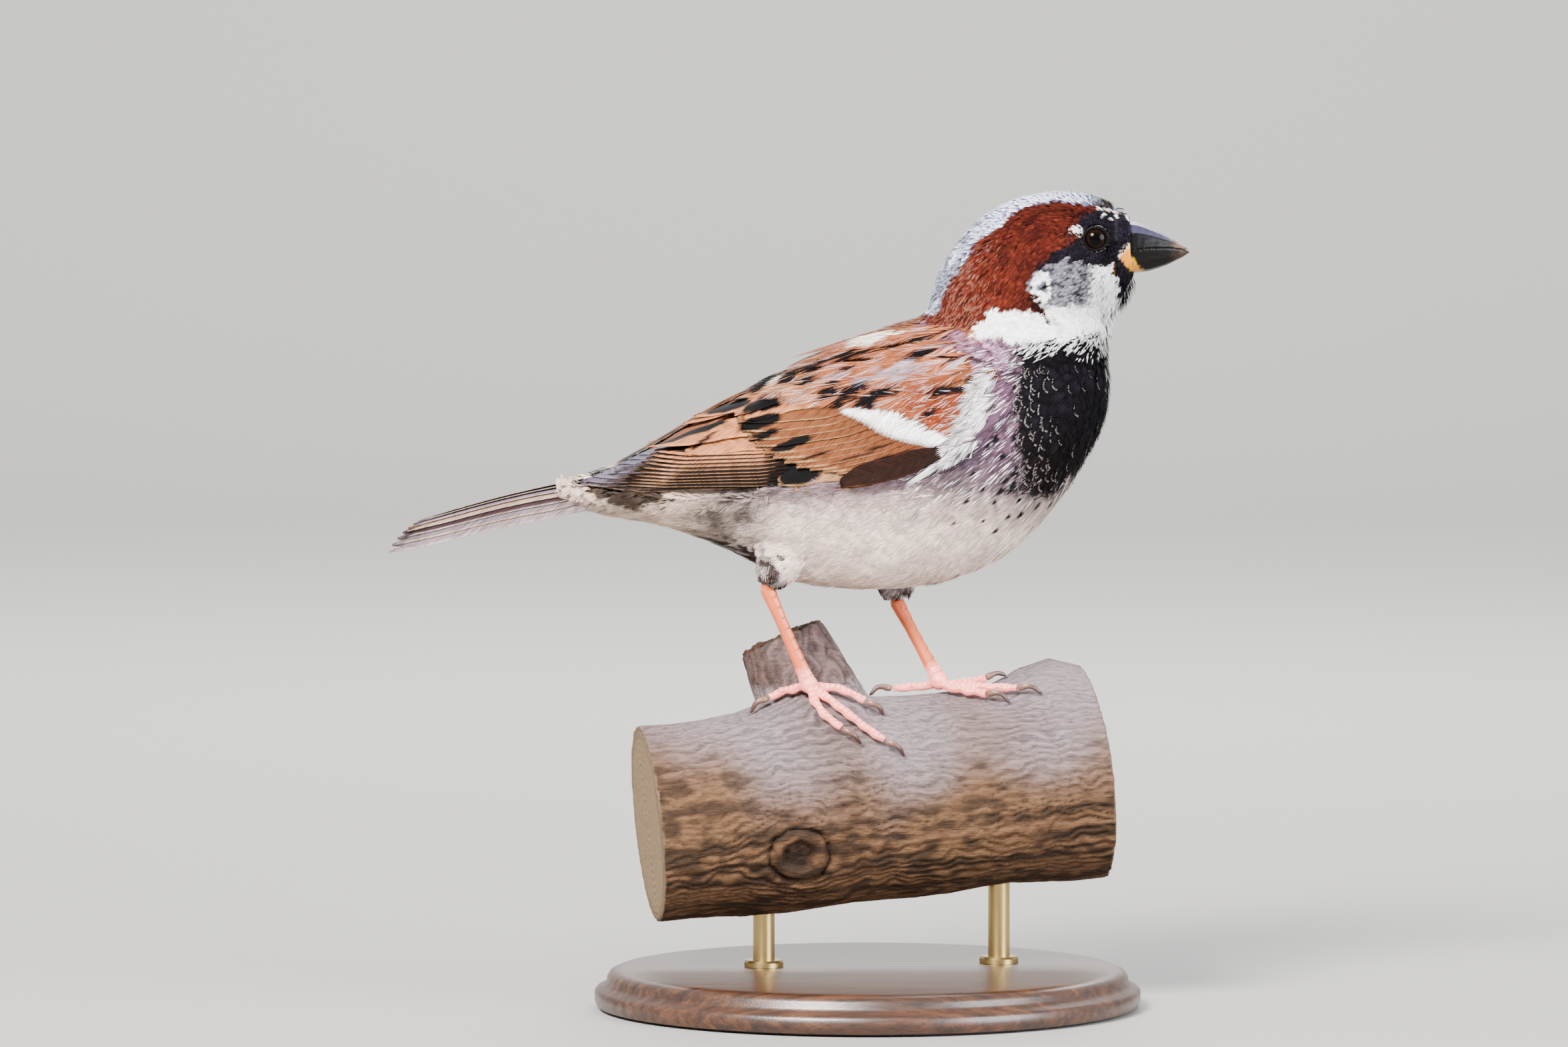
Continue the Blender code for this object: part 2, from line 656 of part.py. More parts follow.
def main():
    clear_scene()
    parts = new_collection("house_sparrow")
    cutters = new_collection("cutters", hidden=True)
    whole = whole_body(cutters)
    wing_cutters = wings(parts, cutters)
    slot = tail(parts, cutters)
    regions = {
        "head": [half_space("above_neck", NECK_TOP, True, GAP / 2, cutters)],
        "neck": [
            half_space("below_head", NECK_TOP, False, GAP / 2, cutters),
            half_space("above_trunk", NECK_BASE, True, GAP / 2, cutters),
        ],
        "trunk": [half_space("below_neck", NECK_BASE, False, GAP / 2, cutters)],
    }
    taken = {
        "head": [
            bill("bill_cutter", (1, -1), GAP, cutters),
            eyeball("eye_cutter_left", 1, GAP, cutters),
            eyeball("eye_cutter_right", -1, GAP, cutters),
        ],
        "neck": wing_cutters,
        "trunk": wing_cutters + [slot],
    }
    looks = {"head": "plumage_head", "neck": "plumage_head", "trunk": "plumage_under"}
    for name, blocks in regions.items():
        piece = place(f"{name}_form", whole.data.copy(), cutters)
        for block in blocks:
            boolean(piece, block, "INTERSECT")
        for cutter in taken[name]:
            boolean(piece, cutter, "DIFFERENCE")
        baked(piece, name, parts, looks[name])
    bill("bill_upper", (1,), 0.0, parts, "horn")
    bill("bill_lower", (-1,), 0.0, parts, "horn")
    eyeball("eye_left", 1, 0.0, parts, "eye")
    eyeball("eye_right", -1, 0.0, parts, "eye")
    branch = perch(parts, cutters)
    stand(parts, cutters)
    ground = Ground(branch)
    grown = place("flesh_with_room", whole.data.copy(), cutters)
    room = grown.modifiers.new("room", "DISPLACE")
    room.strength = GAP * MM
    room.mid_level = 0.0
    for side_name in FEET:
        leg(side_name, ground, grown, parts, cutters)
    for helper in cutters.objects:
        helper.hide_render = True
        helper.display_type = "WIRE"


main()
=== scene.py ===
import math

import bmesh
import bpy
import numpy as np
from mathutils import Matrix, Vector, noise
from mathutils.bvhtree import BVHTree


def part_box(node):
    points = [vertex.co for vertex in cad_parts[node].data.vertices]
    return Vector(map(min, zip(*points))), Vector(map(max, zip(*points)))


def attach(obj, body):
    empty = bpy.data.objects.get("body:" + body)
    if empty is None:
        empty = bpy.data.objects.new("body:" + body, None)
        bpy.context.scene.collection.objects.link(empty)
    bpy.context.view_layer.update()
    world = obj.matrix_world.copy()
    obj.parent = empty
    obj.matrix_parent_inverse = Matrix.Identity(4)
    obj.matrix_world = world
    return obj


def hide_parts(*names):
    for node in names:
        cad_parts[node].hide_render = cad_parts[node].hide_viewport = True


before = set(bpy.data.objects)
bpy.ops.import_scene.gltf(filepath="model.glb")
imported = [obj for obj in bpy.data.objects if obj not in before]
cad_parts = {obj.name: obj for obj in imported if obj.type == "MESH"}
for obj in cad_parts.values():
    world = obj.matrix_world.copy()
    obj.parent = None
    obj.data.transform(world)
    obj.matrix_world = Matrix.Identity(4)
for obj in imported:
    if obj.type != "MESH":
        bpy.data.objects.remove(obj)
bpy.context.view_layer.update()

# ================================================================ display base
# A round base turned from dark walnut, 100 mm across, oiled and waxed. The bird's perch stands on it.
# Made as a disc with an eased lower edge, a cove and a rounded upper edge.

MM = 0.001
BASE_TOP = 7.0


def srgb(code, alpha=1.0):
    """An sRGB hex colour as linear numbers."""
    parts = [int(code[i : i + 2], 16) / 255 for i in (1, 3, 5)]
    return [((c + 0.055) / 1.055) ** 2.4 if c > 0.04045 else c / 12.92 for c in parts] + [alpha]


def new_material(name, roughness, **sockets):
    """A Principled material with its fixed values set on the shader's own sockets."""
    made = bpy.data.materials.new(name)
    made.use_nodes = True
    shader = made.node_tree.nodes["Principled BSDF"]
    shader.inputs["Roughness"].default_value = roughness
    for socket, value in sockets.items():
        shader.inputs[socket.replace("_", " ")].default_value = value
    return made, shader


def add(material, kind, settings=None, stops=(), **links):
    """Adds a node with its settings, a ramp's (place, colour) stops, and its inputs by name or index."""
    node = material.node_tree.nodes.new(kind)
    for key, value in (settings or {}).items():
        setattr(node, key, value)
    for i, (spot, colour) in enumerate(stops):
        stop = node.color_ramp.elements[i] if i < 2 else node.color_ramp.elements.new(spot)
        stop.position = spot
        stop.color = colour
    for key, value in links.items():
        by_index = key[0] == "i" and key[1:].isdigit()
        socket = node.inputs[int(key[1:]) if by_index else key.replace("_", " ")]
        if isinstance(value, bpy.types.NodeSocket):
            material.node_tree.links.new(value, socket)
        else:
            socket.default_value = value
    return node


def connect(material, shader, **sockets):
    """Links each socket's value to the shader."""
    for name, value in sockets.items():
        material.node_tree.links.new(value, shader.inputs[name.replace("_", " ")])


def show(name, bm, material, slot, *replaced):
    """Makes a finished piece from a bmesh in millimetres and fixes it to the part's one body."""
    mesh = bpy.data.meshes.new(name)
    bmesh.ops.scale(bm, vec=(MM, MM, MM), verts=bm.verts)
    bm.to_mesh(mesh)
    bm.free()
    return fix(name, mesh, material, slot, *replaced)


def fix(name, mesh, material, slot, *replaced):
    mesh.shade_smooth()
    mesh.materials.clear()
    mesh.materials.append(material)
    piece = bpy.data.objects.new(name, mesh)
    bpy.context.scene.collection.objects.link(piece)
    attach(piece, "root")
    if replaced:
        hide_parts(*replaced)
    return piece


def per_mm(*counts):
    """A pattern's scale from how many of its features there are to a millimetre in each direction."""
    return [count / MM for count in counts]


MULTIPLIED = {"data_type": "RGBA", "blend_type": "MULTIPLY"}
GRAIN_TURN = (0, 0, 0.35)


def walnut():
    """Oiled walnut: dark streaks 1 to 3 mm wide along the grain, fine pores, a soft waxed gloss."""
    made, shader = new_material("walnut_oiled", 0.36, Coat_Weight=0.25, Coat_Roughness=0.3)
    place = add(made, "ShaderNodeTexCoord").outputs["Object"]
    streaks = add(made, "ShaderNodeMapping", Vector=place, Scale=per_mm(0.06, 0.62, 0.5), Rotation=GRAIN_TURN)
    grain = add(made, "ShaderNodeTexNoise", Vector=streaks.outputs[0], Scale=1.0, Detail=6.0, Distortion=0.6)
    pores = add(made, "ShaderNodeMapping", Vector=place, Scale=per_mm(0.4, 5.2, 3.0), Rotation=GRAIN_TURN)
    pore = add(made, "ShaderNodeTexNoise", Vector=pores.outputs[0], Scale=1.0, Detail=2.0)
    shades = [(0.3, srgb("#1F1008")), (0.5, srgb("#392011")), (0.72, srgb("#54331C"))]
    colour = add(made, "ShaderNodeValToRGB", stops=shades, Fac=grain.outputs["Fac"])
    shades = [(0.38, srgb("#5A4A40")), (0.5, srgb("#FFFFFF"))]
    dark = add(made, "ShaderNodeValToRGB", stops=shades, Fac=pore.outputs["Fac"])
    both = add(made, "ShaderNodeMix", MULTIPLIED, i0=0.5, i6=colour.outputs[0], i7=dark.outputs[0])
    dents = add(made, "ShaderNodeBump", Height=pore.outputs["Fac"], Strength=0.12, Distance=0.3 * MM)
    connect(made, shader, Base_Color=both.outputs[2], Normal=dents.outputs[0])
    return made


def turned(profile, x, y, steps):
    """A solid turned about an upright axis at (x, y) from a profile of (radius, height)."""
    bm = bmesh.new()
    line = [bm.verts.new((x + r, y, z)) for r, z in profile]
    for a, b in zip(line, line[1:]):
        bm.edges.new((a, b))
    bmesh.ops.spin(bm, geom=bm.verts[:] + bm.edges[:], cent=(x, y, 0), axis=(0, 0, 1), angle=2 * math.pi,
                   steps=steps, use_merge=True)
    bmesh.ops.remove_doubles(bm, verts=bm.verts, dist=0.001)
    bmesh.ops.recalc_face_normals(bm, faces=bm.faces)
    return bm


base_low, base_high = (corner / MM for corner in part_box("stand_base"))
base_radius = (base_high - base_low).x / 2
base_profile = [(0, 0), (base_radius - 1.6, 0), (base_radius - 0.4, 0.4), (base_radius, 1.4),
                (base_radius, 3.0), (base_radius - 0.5, 3.6), (base_radius - 1.7, 4.1),
                (base_radius - 2.2, 4.8), (base_radius - 2.3, 5.6), (base_radius - 2.8, 6.4),
                (base_radius - 4.0, 6.9), (base_radius - 5.5, BASE_TOP), (0, BASE_TOP)]
base = show("stand_base_turned", turned(base_profile, 0, 0, 160), walnut(), "stand_wood", "stand_base")
base.data.set_sharp_from_angle(angle=math.radians(40))

# ================================================================ rods
# Two short rods of brushed brass, 4 mm thick, let into the base and into the perch's underside.
# Each has a small collar where it enters the base.


def brass():
    """Brushed brass rod: warm metal with fine turning marks round it."""
    made, shader = new_material("brass_brushed", 0.3, Metallic=1.0, Base_Color=srgb("#AB925D"))
    place = add(made, "ShaderNodeTexCoord").outputs["Object"]
    marks = add(made, "ShaderNodeMapping", Vector=place, Scale=per_mm(0.2, 0.2, 9.0))
    line = add(made, "ShaderNodeTexNoise", Vector=marks.outputs[0], Scale=1.0, Detail=2.0)
    scratches = add(made, "ShaderNodeBump", Height=line.outputs["Fac"], Strength=0.15, Distance=0.1 * MM)
    connect(made, shader, Normal=scratches.outputs[0])
    return made


rod_metal = brass()
for rod in ("stand_rod_rear", "stand_rod_front"):
    low, high = (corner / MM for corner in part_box(rod))
    middle, radius = (low + high) / 2, (high.x - low.x) / 2
    seat = BASE_TOP + 0.05
    rod_profile = [(0, low.z), (radius, low.z), (radius, seat), (3.6, seat), (3.6, seat + 0.85),
                   (3.3, seat + 1.25), (radius, seat + 1.25), (radius, high.z), (0, high.z)]
    piece = show(rod + "_brass", turned(rod_profile, middle.x, middle.y, 48), rod_metal, "stand_metal", rod)
    piece.data.set_sharp_from_angle(angle=math.radians(35))

# ================================================================ perch
# A cut length of old, barkless branch, 37 mm thick, with a broken side shoot and a swelling at its front end.
# The weathered wood has shrunk into wavy ridges that run along it, pale on top and brown with stains below.

PERCH_YAW, PERCH_TILT = math.radians(9.0), math.radians(5.2)
PERCH_MIDDLE = Vector((1.0, 5.0, 37.2))
PERCH_HALF = 42.0
PERCH_TURN = Matrix.Rotation(PERCH_YAW, 3, "Z") @ Matrix.Rotation(-PERCH_TILT, 3, "Y")
RIDGES = 74  # ridges round the branch, about 1.6 mm apart
RIDGE_DEPTH = 0.62
KNOT_X, KNOT_Z = -12.4, 28.7
STUB_END = Vector((-16.0, 7.0, 67.5))
STUB_AXIS = (STUB_END - Vector((-8.0, 4.5, 50.0))).normalized()


def copy_of(*nodes):
    """The CAD nodes' shapes joined in one bmesh in millimetres, with their loose triangles merged."""
    bm = bmesh.new()
    for node in nodes:
        bm.from_mesh(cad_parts[node].data)
    bmesh.ops.scale(bm, vec=(1 / MM,) * 3, verts=bm.verts)
    bmesh.ops.remove_doubles(bm, verts=bm.verts, dist=0.002)
    return bm


def remeshed(bm, voxel_mm, smoothing=0, grow_mm=0.0):
    """One closed skin round the shapes, grown first so that thin gaps between them close."""
    mesh = bpy.data.meshes.new("form")
    bm.to_mesh(mesh)
    bm.free()
    obj = bpy.data.objects.new("form", mesh)
    bpy.context.scene.collection.objects.link(obj)
    if grow_mm:
        step = obj.modifiers.new("grow", "DISPLACE")
        step.strength = grow_mm
        step.mid_level = 0.0
    step = obj.modifiers.new("remesh", "REMESH")
    step.mode = "VOXEL"
    step.voxel_size = voxel_mm
    if smoothing:
        step = obj.modifiers.new("smooth", "SMOOTH")
        step.factor = 0.5
        step.iterations = smoothing
    done = bpy.data.meshes.new_from_object(obj.evaluated_get(bpy.context.evaluated_depsgraph_get()))
    bpy.data.objects.remove(obj)
    return done


def points_of(mesh):
    """A mesh's points and their normals."""
    points = np.empty(len(mesh.vertices) * 3, np.float32)
    normals = np.empty_like(points)
    mesh.vertices.foreach_get("co", points)
    mesh.vertex_normals.foreach_get("vector", normals)
    return points.reshape(-1, 3).astype(float), normals.reshape(-1, 3).astype(float)


def set_points(mesh, points, scale=MM):
    mesh.vertices.foreach_set("co", (points * scale).astype(np.float32).ravel())
    mesh.update()


def paint(mesh, name, colours):
    """Stores a linear colour at every point."""
    layer = mesh.color_attributes.new(name, "FLOAT_COLOR", "POINT")
    rgba = np.ones((len(colours), 4), np.float32)
    rgba[:, :3] = colours
    layer.data.foreach_set("color", rgba.ravel())


def clouds(points, size_mm, seed=0.0):
    """Smooth noise from -1 to 1 at each point, with features of about that size."""
    return np.array([noise.noise(Vector(p) / size_mm + Vector((seed, seed * 1.7, -seed))) for p in points])


def smooth(value, low, high):
    """Rises smoothly from 0 at low to 1 at high."""
    t = np.clip((value - low) / (high - low), 0, 1)
    return t * t * (3 - 2 * t)


def linear(*codes):
    """sRGB hex colours as linear arrays."""
    return [np.array(srgb(code)[:3]) for code in codes]


def mix(a, b, share):
    """Colours a and b blended, with b's share."""
    share = np.asarray(share)[..., None]
    return a * (1 - share) + b * share


def weathered_wood():
    """Weathered barkless wood: silvery ridges, brown grooves and stains, painted in the 'wood' attribute."""
    made, shader = new_material("branch_weathered", 0.82, Specular_IOR_Level=0.16)
    place = add(made, "ShaderNodeTexCoord").outputs["Object"]
    paint_in = add(made, "ShaderNodeAttribute", {"attribute_name": "wood"}).outputs["Color"]
    lie = add(made, "ShaderNodeMapping", Vector=place, Scale=per_mm(0.38, 2.6, 2.6),
              Rotation=(0, 0, -PERCH_YAW))
    fibre = add(made, "ShaderNodeTexNoise", Vector=lie.outputs[0], Scale=1.0, Detail=5.0, Roughness=0.65)
    shades = [(0.3, srgb("#8F857C")), (0.55, srgb("#FFFFFF"))]
    shade = add(made, "ShaderNodeValToRGB", stops=shades, Fac=fibre.outputs["Fac"])
    colour = add(made, "ShaderNodeMix", MULTIPLIED, i0=0.75, i6=paint_in, i7=shade.outputs[0])
    relief = add(made, "ShaderNodeBump", Height=fibre.outputs["Fac"], Strength=0.6, Distance=0.35 * MM)
    connect(made, shader, Base_Color=colour.outputs[2], Normal=relief.outputs[0])
    return made


perch_mesh = remeshed(copy_of("perch"), 0.5, smoothing=6)
p, n = points_of(perch_mesh)
turn = np.array(PERCH_TURN)
local = (p - np.array(PERCH_MIDDLE)) @ turn
along_it, around = local[:, 0], np.arctan2(-local[:, 1], local[:, 2])
reach = np.hypot(local[:, 1], local[:, 2])
to_end = np.abs(along_it) - (PERCH_HALF - 0.6)
from_stub = p - np.array(STUB_END)
stub_rise = from_stub @ np.array(STUB_AXIS)
stub_face = smooth(stub_rise, -1.2, -0.4) * smooth(9.5 - np.linalg.norm(from_stub, axis=1), 0, 1)
on_stub = smooth(reach, 22.0, 24.5) * (along_it < 10)
cut_face = np.maximum(smooth(to_end, 0.0, 0.4) * (np.abs(n @ turn[:, 0]) > 0.6), stub_face)
warp = 1.5 * clouds(p * (0.45, 1, 1), 7.0) + 0.8 * clouds(p, 3.0, 5.0)
# A healed knot on the near side, which the ridges run round.
from_knot = np.hypot(p[:, 0] - KNOT_X, (p[:, 2] - KNOT_Z) * 1.1)
knot = np.where(n[:, 1] < 0, from_knot, 99.0) + 0.5 * clouds(p, 2.0, 3.0)
warp += 2.6 * np.exp(-((knot / 8.0) ** 2)) * (p[:, 2] - KNOT_Z) / 3
around_stub = np.arctan2(from_stub[:, 1], from_stub[:, 0]) * 5.0
phase = np.where(on_stub > 0.5, around_stub / 1.6, RIDGES * around / (2 * math.pi)) + warp
ridge = np.abs(np.sin(math.pi * phase)) ** 0.7
strength = np.clip(0.75 + 0.6 * clouds(p, 11.0, 9.0), 0.15, 1.2) * (1 - cut_face)
lumps = 0.35 * clouds(p, 14.0, 2.0) + 0.18 * clouds(p, 4.0, 3.0)
splinters = stub_face * (1.3 * np.abs(clouds(p * (1, 1, 0.2), 1.6, 4.0)) + 0.5 * clouds(p, 3.0, 7.0))
rings = np.sin(2 * math.pi * (reach + 0.8 * clouds(p, 9.0, 1.0)) / 1.25)
sunk = RIDGE_DEPTH * strength * (1 - ridge) + np.maximum(lumps, 0) * 0.6
sunk = sunk + splinters * 1.4 + 0.1 * cut_face * (rings > 0.6)
hollow = smooth(3.6 - knot, 0, 1.2)
sunk = sunk * (1 - smooth(5.6 - knot, 0, 1.0)) + 1.5 * hollow * (0.7 + 0.6 * np.abs(clouds(p, 1.2, 8.0)))
sunk = sunk + 0.9 * np.exp(-(((knot - 5.6) / 0.4) ** 2))
# Nothing rises above the solid, so that the toes stay clear of the wood.
p = p - n * (sunk * smooth(PERCH_HALF + 0.5 - np.abs(along_it), 0, 1.0) + 0.05)[:, None]
pale, brown, dark = linear("#6C6164", "#563E2A", "#1A110B")
side = smooth(-np.cos(around) + 0.45 * clouds(p, 12.0, 6.0) + 0.55 * smooth(-p[:, 0], 12, 40), -0.95, 0.2)
streaky = 0.6 * clouds(local * (0.22, 1, 1.3), 3.2, 12.0) + 0.5 * clouds(local * (0.5, 1, 1), 1.6, 4.0)
stain = smooth(streaky + 0.55 * side, 0.38, 0.75) * (0.25 + 0.75 * side)
wood = pale * (1 - side)[:, None] + brown * side[:, None]
firm = np.clip(strength, 0, 1)
fine = np.abs(np.sin(math.pi * (2.3 * phase + 0.6 * clouds(local * (0.4, 1, 1), 1.5, 6.0)))) ** 0.8
wood *= ((1.22 - firm * (0.72 + 0.2 * side) * (1 - ridge) ** 0.8) * (0.72 + 0.38 * fine))[:, None]
wood = wood * (1 - 0.75 * stain)[:, None] + dark * (0.75 * stain)[:, None]
knot_stain = np.clip(hollow + 0.9 * np.exp(-(((knot - 5.6) / 0.5) ** 2)), 0, 1)
wood = mix(wood, dark, 0.85 * knot_stain * (0.75 + 0.4 * clouds(p, 0.9, 3.0)))
stub_tone = mix(np.ones(3), np.array((0.66, 0.55, 0.48)), on_stub)
wood *= (1 - 0.35 * on_stub * smooth(clouds(p, 2.2, 9.0), -0.2, 0.3))[:, None] * stub_tone
sawn_tone, broken_tone = linear("#877156", "#39261C")
grain = sawn_tone * (0.78 + 0.22 * rings)[:, None] * (1 - 0.35 * smooth(reach, 14.5, 18.0))[:, None]
broken = broken_tone * (0.7 + 0.9 * np.abs(clouds(p, 1.4, 8.0)))[:, None]
face = np.where(stub_face[:, None] > 0.3, broken, grain)
wood = wood * (1 - cut_face)[:, None] + face * cut_face[:, None]
set_points(perch_mesh, p)
paint(perch_mesh, "wood", wood)
fix("perch_branch", perch_mesh, weathered_wood(), "bark", "perch")

# ================================================================ legs and feet
# Bare legs with horny plates in front, and four toes each with rings of scutes and soft pads below.
# One skin runs from the heel to the toes. The claws are separate dark horn.

SCUTE_MM = 1.0  # length of one plate on the toes
SHANK_PLATE_MM = 2.1


def ends_of(node):
    """The middles of a rod-like node's two ends, the higher first."""
    points = np.array([v.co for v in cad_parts[node].data.vertices]) / MM
    centre = points.mean(0)
    axis = np.linalg.svd(points - centre, full_matrices=False)[2][0]
    if axis[2] < 0:
        axis = -axis
    place = (points - centre) @ axis
    return points[place > place.max() - 0.5].mean(0), points[place < place.min() + 0.5].mean(0)


def leg_skin():
    """Scaly leg skin: orange shank and pink toes with darker seams, slightly translucent and waxy."""
    made, shader = new_material("leg_skin", 0.42, Subsurface_Weight=0.15, Subsurface_Scale=0.6 * MM,
                                Subsurface_Radius=(1.0, 0.4, 0.25), Coat_Weight=0.1)
    place = add(made, "ShaderNodeTexCoord").outputs["Object"]
    paint_in = add(made, "ShaderNodeAttribute", {"attribute_name": "skin"}).outputs["Color"]
    fine = add(made, "ShaderNodeTexVoronoi", Vector=place, Scale=3.8 / MM)
    grit = add(made, "ShaderNodeBump", Height=fine.outputs["Distance"], Strength=0.25, Distance=0.12 * MM)
    connect(made, shader, Base_Color=paint_in, Normal=grit.outputs[0])
    return made


def claw_horn():
    """Claw horn: brown, darker at the tip, paler at the root, smooth and slightly glossy."""
    made, shader = new_material("claw_horn", 0.3)
    paint_in = add(made, "ShaderNodeAttribute", {"attribute_name": "horn"}).outputs["Color"]
    connect(made, shader, Base_Color=paint_in)
    return made


skin_finish, claw_finish = leg_skin(), claw_horn()
for side_name in ("right", "left"):
    heel, foot_end = ends_of(f"tarsus_{side_name}")
    down = (foot_end - heel) / np.linalg.norm(foot_end - heel)
    palm = foot_end + down * 1.9
    bm = copy_of(f"tarsus_{side_name}", f"foot_{side_name}")
    knee, shin_end = ends_of(f"shin_{side_name}")
    up_shin = (knee - shin_end) / np.linalg.norm(knee - shin_end)
    fillers = [(heel + up_shin * (0.1 + 0.8 * k), 1.25 - 0.12 * k) for k in range(5)]
    for spot, size in [(foot_end + down * 0.5, 1.55)] + fillers:
        ball = bmesh.ops.create_icosphere(bm, subdivisions=2, radius=size)
        bmesh.ops.translate(bm, verts=ball["verts"], vec=spot)
    leg_mesh = remeshed(bm, 0.2, smoothing=5)
    p, n = points_of(leg_mesh)
    on_shank = (p - heel) @ down
    shank_length = (palm - heel) @ down
    shank = smooth(shank_length - on_shank, 2.2, 4.0)
    from_palm = np.linalg.norm(p - palm, axis=1)
    front = n @ np.array((0.9, 0, 0.2))
    toe_beat = (from_palm / SCUTE_MM + 0.15 * clouds(p, 1.2)) % 1.0
    shank_beat = (on_shank / SHANK_PLATE_MM + 0.2 * front) % 1.0
    up = smooth(n[:, 2], -0.2, 0.3)
    toe_rise = 0.10 * toe_beat * up - 0.07 * (toe_beat < 0.12) * up
    shank_rise = (0.11 * shank_beat - 0.09 * (shank_beat < 0.08)) * smooth(front, 0.0, 0.5)
    pads = 0.12 * np.sin(from_palm * 2.1) * (1 - up)
    p = p + n * (shank * shank_rise + (1 - shank) * (toe_rise + pads) - 0.02)[:, None]
    shank_colour, toe_colour, seam = linear("#C95E32", "#FD8D83", "#7A4029")
    colour = shank_colour * shank[:, None] + toe_colour * (1 - shank)[:, None]
    groove = np.where(shank > 0.5, (shank_beat < 0.12) * smooth(front, 0.0, 0.5), (toe_beat < 0.2) * up)
    blotch = 0.5 + 0.5 * clouds(p, 1.6, 3.0)
    colour = colour * (1 - 0.55 * groove)[:, None] + seam * (0.55 * groove)[:, None]
    colour = colour * (0.84 + 0.24 * blotch)[:, None]
    set_points(leg_mesh, p)
    paint(leg_mesh, "skin", colour)
    fix(f"leg_{side_name}", leg_mesh, skin_finish, "leg_skin", f"tarsus_{side_name}", f"foot_{side_name}")
    for toe in ("hind", "inner", "middle", "outer"):
        node = f"claw_{toe}_{side_name}"
        bm = copy_of(node)
        bmesh.ops.subdivide_edges(bm, edges=bm.edges, cuts=1, use_grid_fill=True, smooth=0.6)
        bmesh.ops.smooth_vert(bm, verts=bm.verts, factor=0.4, use_axis_x=True, use_axis_y=True,
                              use_axis_z=True)
        away = [(v.co - Vector(palm)).length for v in bm.verts]
        share = (np.array(away) - min(away)) / (max(away) - min(away))
        root, tip = linear("#7A5B4E", "#392722")
        piece = show(node + "_horn", bm, claw_finish, "claw_horn", node)
        paint(piece.data, "horn", root * (1 - share)[:, None] ** 1.5 + tip * (share[:, None] ** 0.7))

# ================================================================ body skin
# One skin under the feathers from the bill to the tail and down the shins. It takes the place of the head,
# neck, trunk and shins, lies inside them by the coat's depth, and carries the coat's colours in painted
# shade.

rng = np.random.default_rng(41)
COAT_DEPTH = 1.05  # on the body; the face's feathers are shorter
FACE_DEPTH = 0.55
BILL_ROOT = np.array((49.0, 0.0, 139.2))
EYE = np.array((41.2, 6.8, 140.6))
FLOW_FROM = np.array((50, 0, 139))  # the coat lies back from here, at the root of the bill
NECK_LINE = 122  # the height at which the head's coat gives way to the body's


def inside(outline, x, z):
    """Whether each (x, z) is inside an outline of (x, z) corners."""
    hit = np.zeros(len(x), bool)
    for (x0, z0), (x1, z1) in zip(outline, outline[1:] + outline[:1]):
        crosses = (z0 > z) != (z1 > z)
        with np.errstate(divide="ignore", invalid="ignore"):
            hit ^= crosses & (x < (x1 - x0) * (z - z0) / (z1 - z0 if z1 != z0 else 1e-9) + x0)
    return hit


# Outlines of the male's markings and of painted shade under the wing tips, in millimetres, seen from the
# side.
CROWN_EDGE = [(10, 126), (13.2, 126.9), (13.9, 129.9), (15.8, 133.7), (18.4, 136.8), (19.6, 139.8),
              (24.2, 142.4), (26.6, 145.0), (30.0, 146.3), (34.1, 147.1)]
CROWN = CROWN_EDGE + [(40.8, 146.3), (45.6, 145.4), (50, 146), (44, 152), (20, 152), (5, 140)]
CHESTNUT_REST = [(41.4, 146.2), (41.6, 144.9), (38.0, 143.6), (37.6, 141.0), (36.0, 139.0), (31.6, 136.2),
                 (29.6, 134.0), (28.7, 131.6), (29.6, 129.2), (31.2, 127.6), (26.3, 127.6), (22.2, 127.4),
                 (20.7, 125.8), (17.4, 123.2), (12, 123)]
CHESTNUT = CROWN_EDGE + CHESTNUT_REST
LORES = [(39.7, 145.3), (42.0, 145.6), (45.3, 145.2), (48.9, 144.2), (50.5, 141.0), (46.9, 139.6),
         (45.2, 138.0), (46.3, 135.0), (47.8, 133.6), (47.4, 130), (46.2, 127), (44.9, 129.5),
         (44.9, 135.6), (43.4, 135.9), (40.8, 135.6), (38.2, 136.3), (34.6, 137.0), (32.2, 135.9),
         (30.0, 133.8), (30.2, 135.3), (33.7, 138.2), (36.0, 139.3), (37.8, 140.9), (37.8, 143.6)]
COLLAR = [(20.8, 127.3), (22.2, 127.7), (26.3, 127.9), (30.8, 127.4), (32.4, 126.3), (34.2, 127.6),
          (44.8, 128.0), (44.6, 123.4), (41.0, 123.7), (38.6, 123.2), (36.0, 122.2), (28.5, 121.8),
          (22.9, 121.8), (18.8, 123.2)]
BIB = [(44.4, 136.5), (52, 136.5), (52, 110), (46, 98), (40.5, 97.2), (38.0, 97.6), (36.9, 96.2),
       (35.6, 98.2), (34.2, 97.0), (32.8, 94.6), (31.2, 94.0), (30.2, 95.8), (28.6, 94.6), (27.4, 97.2),
       (27.9, 100.0), (26.9, 103.6), (27.6, 107.0), (26.8, 110.0), (26.9, 112.6), (27.6, 115.9),
       (25.8, 119.4), (28.5, 121.8), (36.0, 122.4), (38.6, 123.4), (41.0, 123.9), (43.6, 123.6),
       (43.8, 129)]
SCAPULAR = [(20.8, 121.8), (20.6, 112.4), (14, 110.6), (6, 111.2), (-4, 111.8), (-14, 113.0), (-24, 108),
            (-34, 103), (-44, 99.5), (-52, 97), (-52, 130), (22, 130)]
# Painted shade under the wing tips.
WINGTIP_SHADE = [(-51.5, 98), (-37.4, 97.6), (-37.8, 94.2), (-41.0, 92.2), (-45.0, 92.6), (-51.5, 94.6)]
GAPE_SKIN = [(45.6, 137.5), (46.9, 138.3), (47.6, 139.6), (48.3, 139.8), (51, 139.2), (51, 134.5),
             (48.3, 134.5), (46.9, 135.6)]
GREY_SHOULDER = [(10, 126), (17, 123.2), (22.9, 121.4), (25.4, 119.4), (23.6, 116.4), (18, 116.2),
                 (15.6, 119.2), (9, 122)]

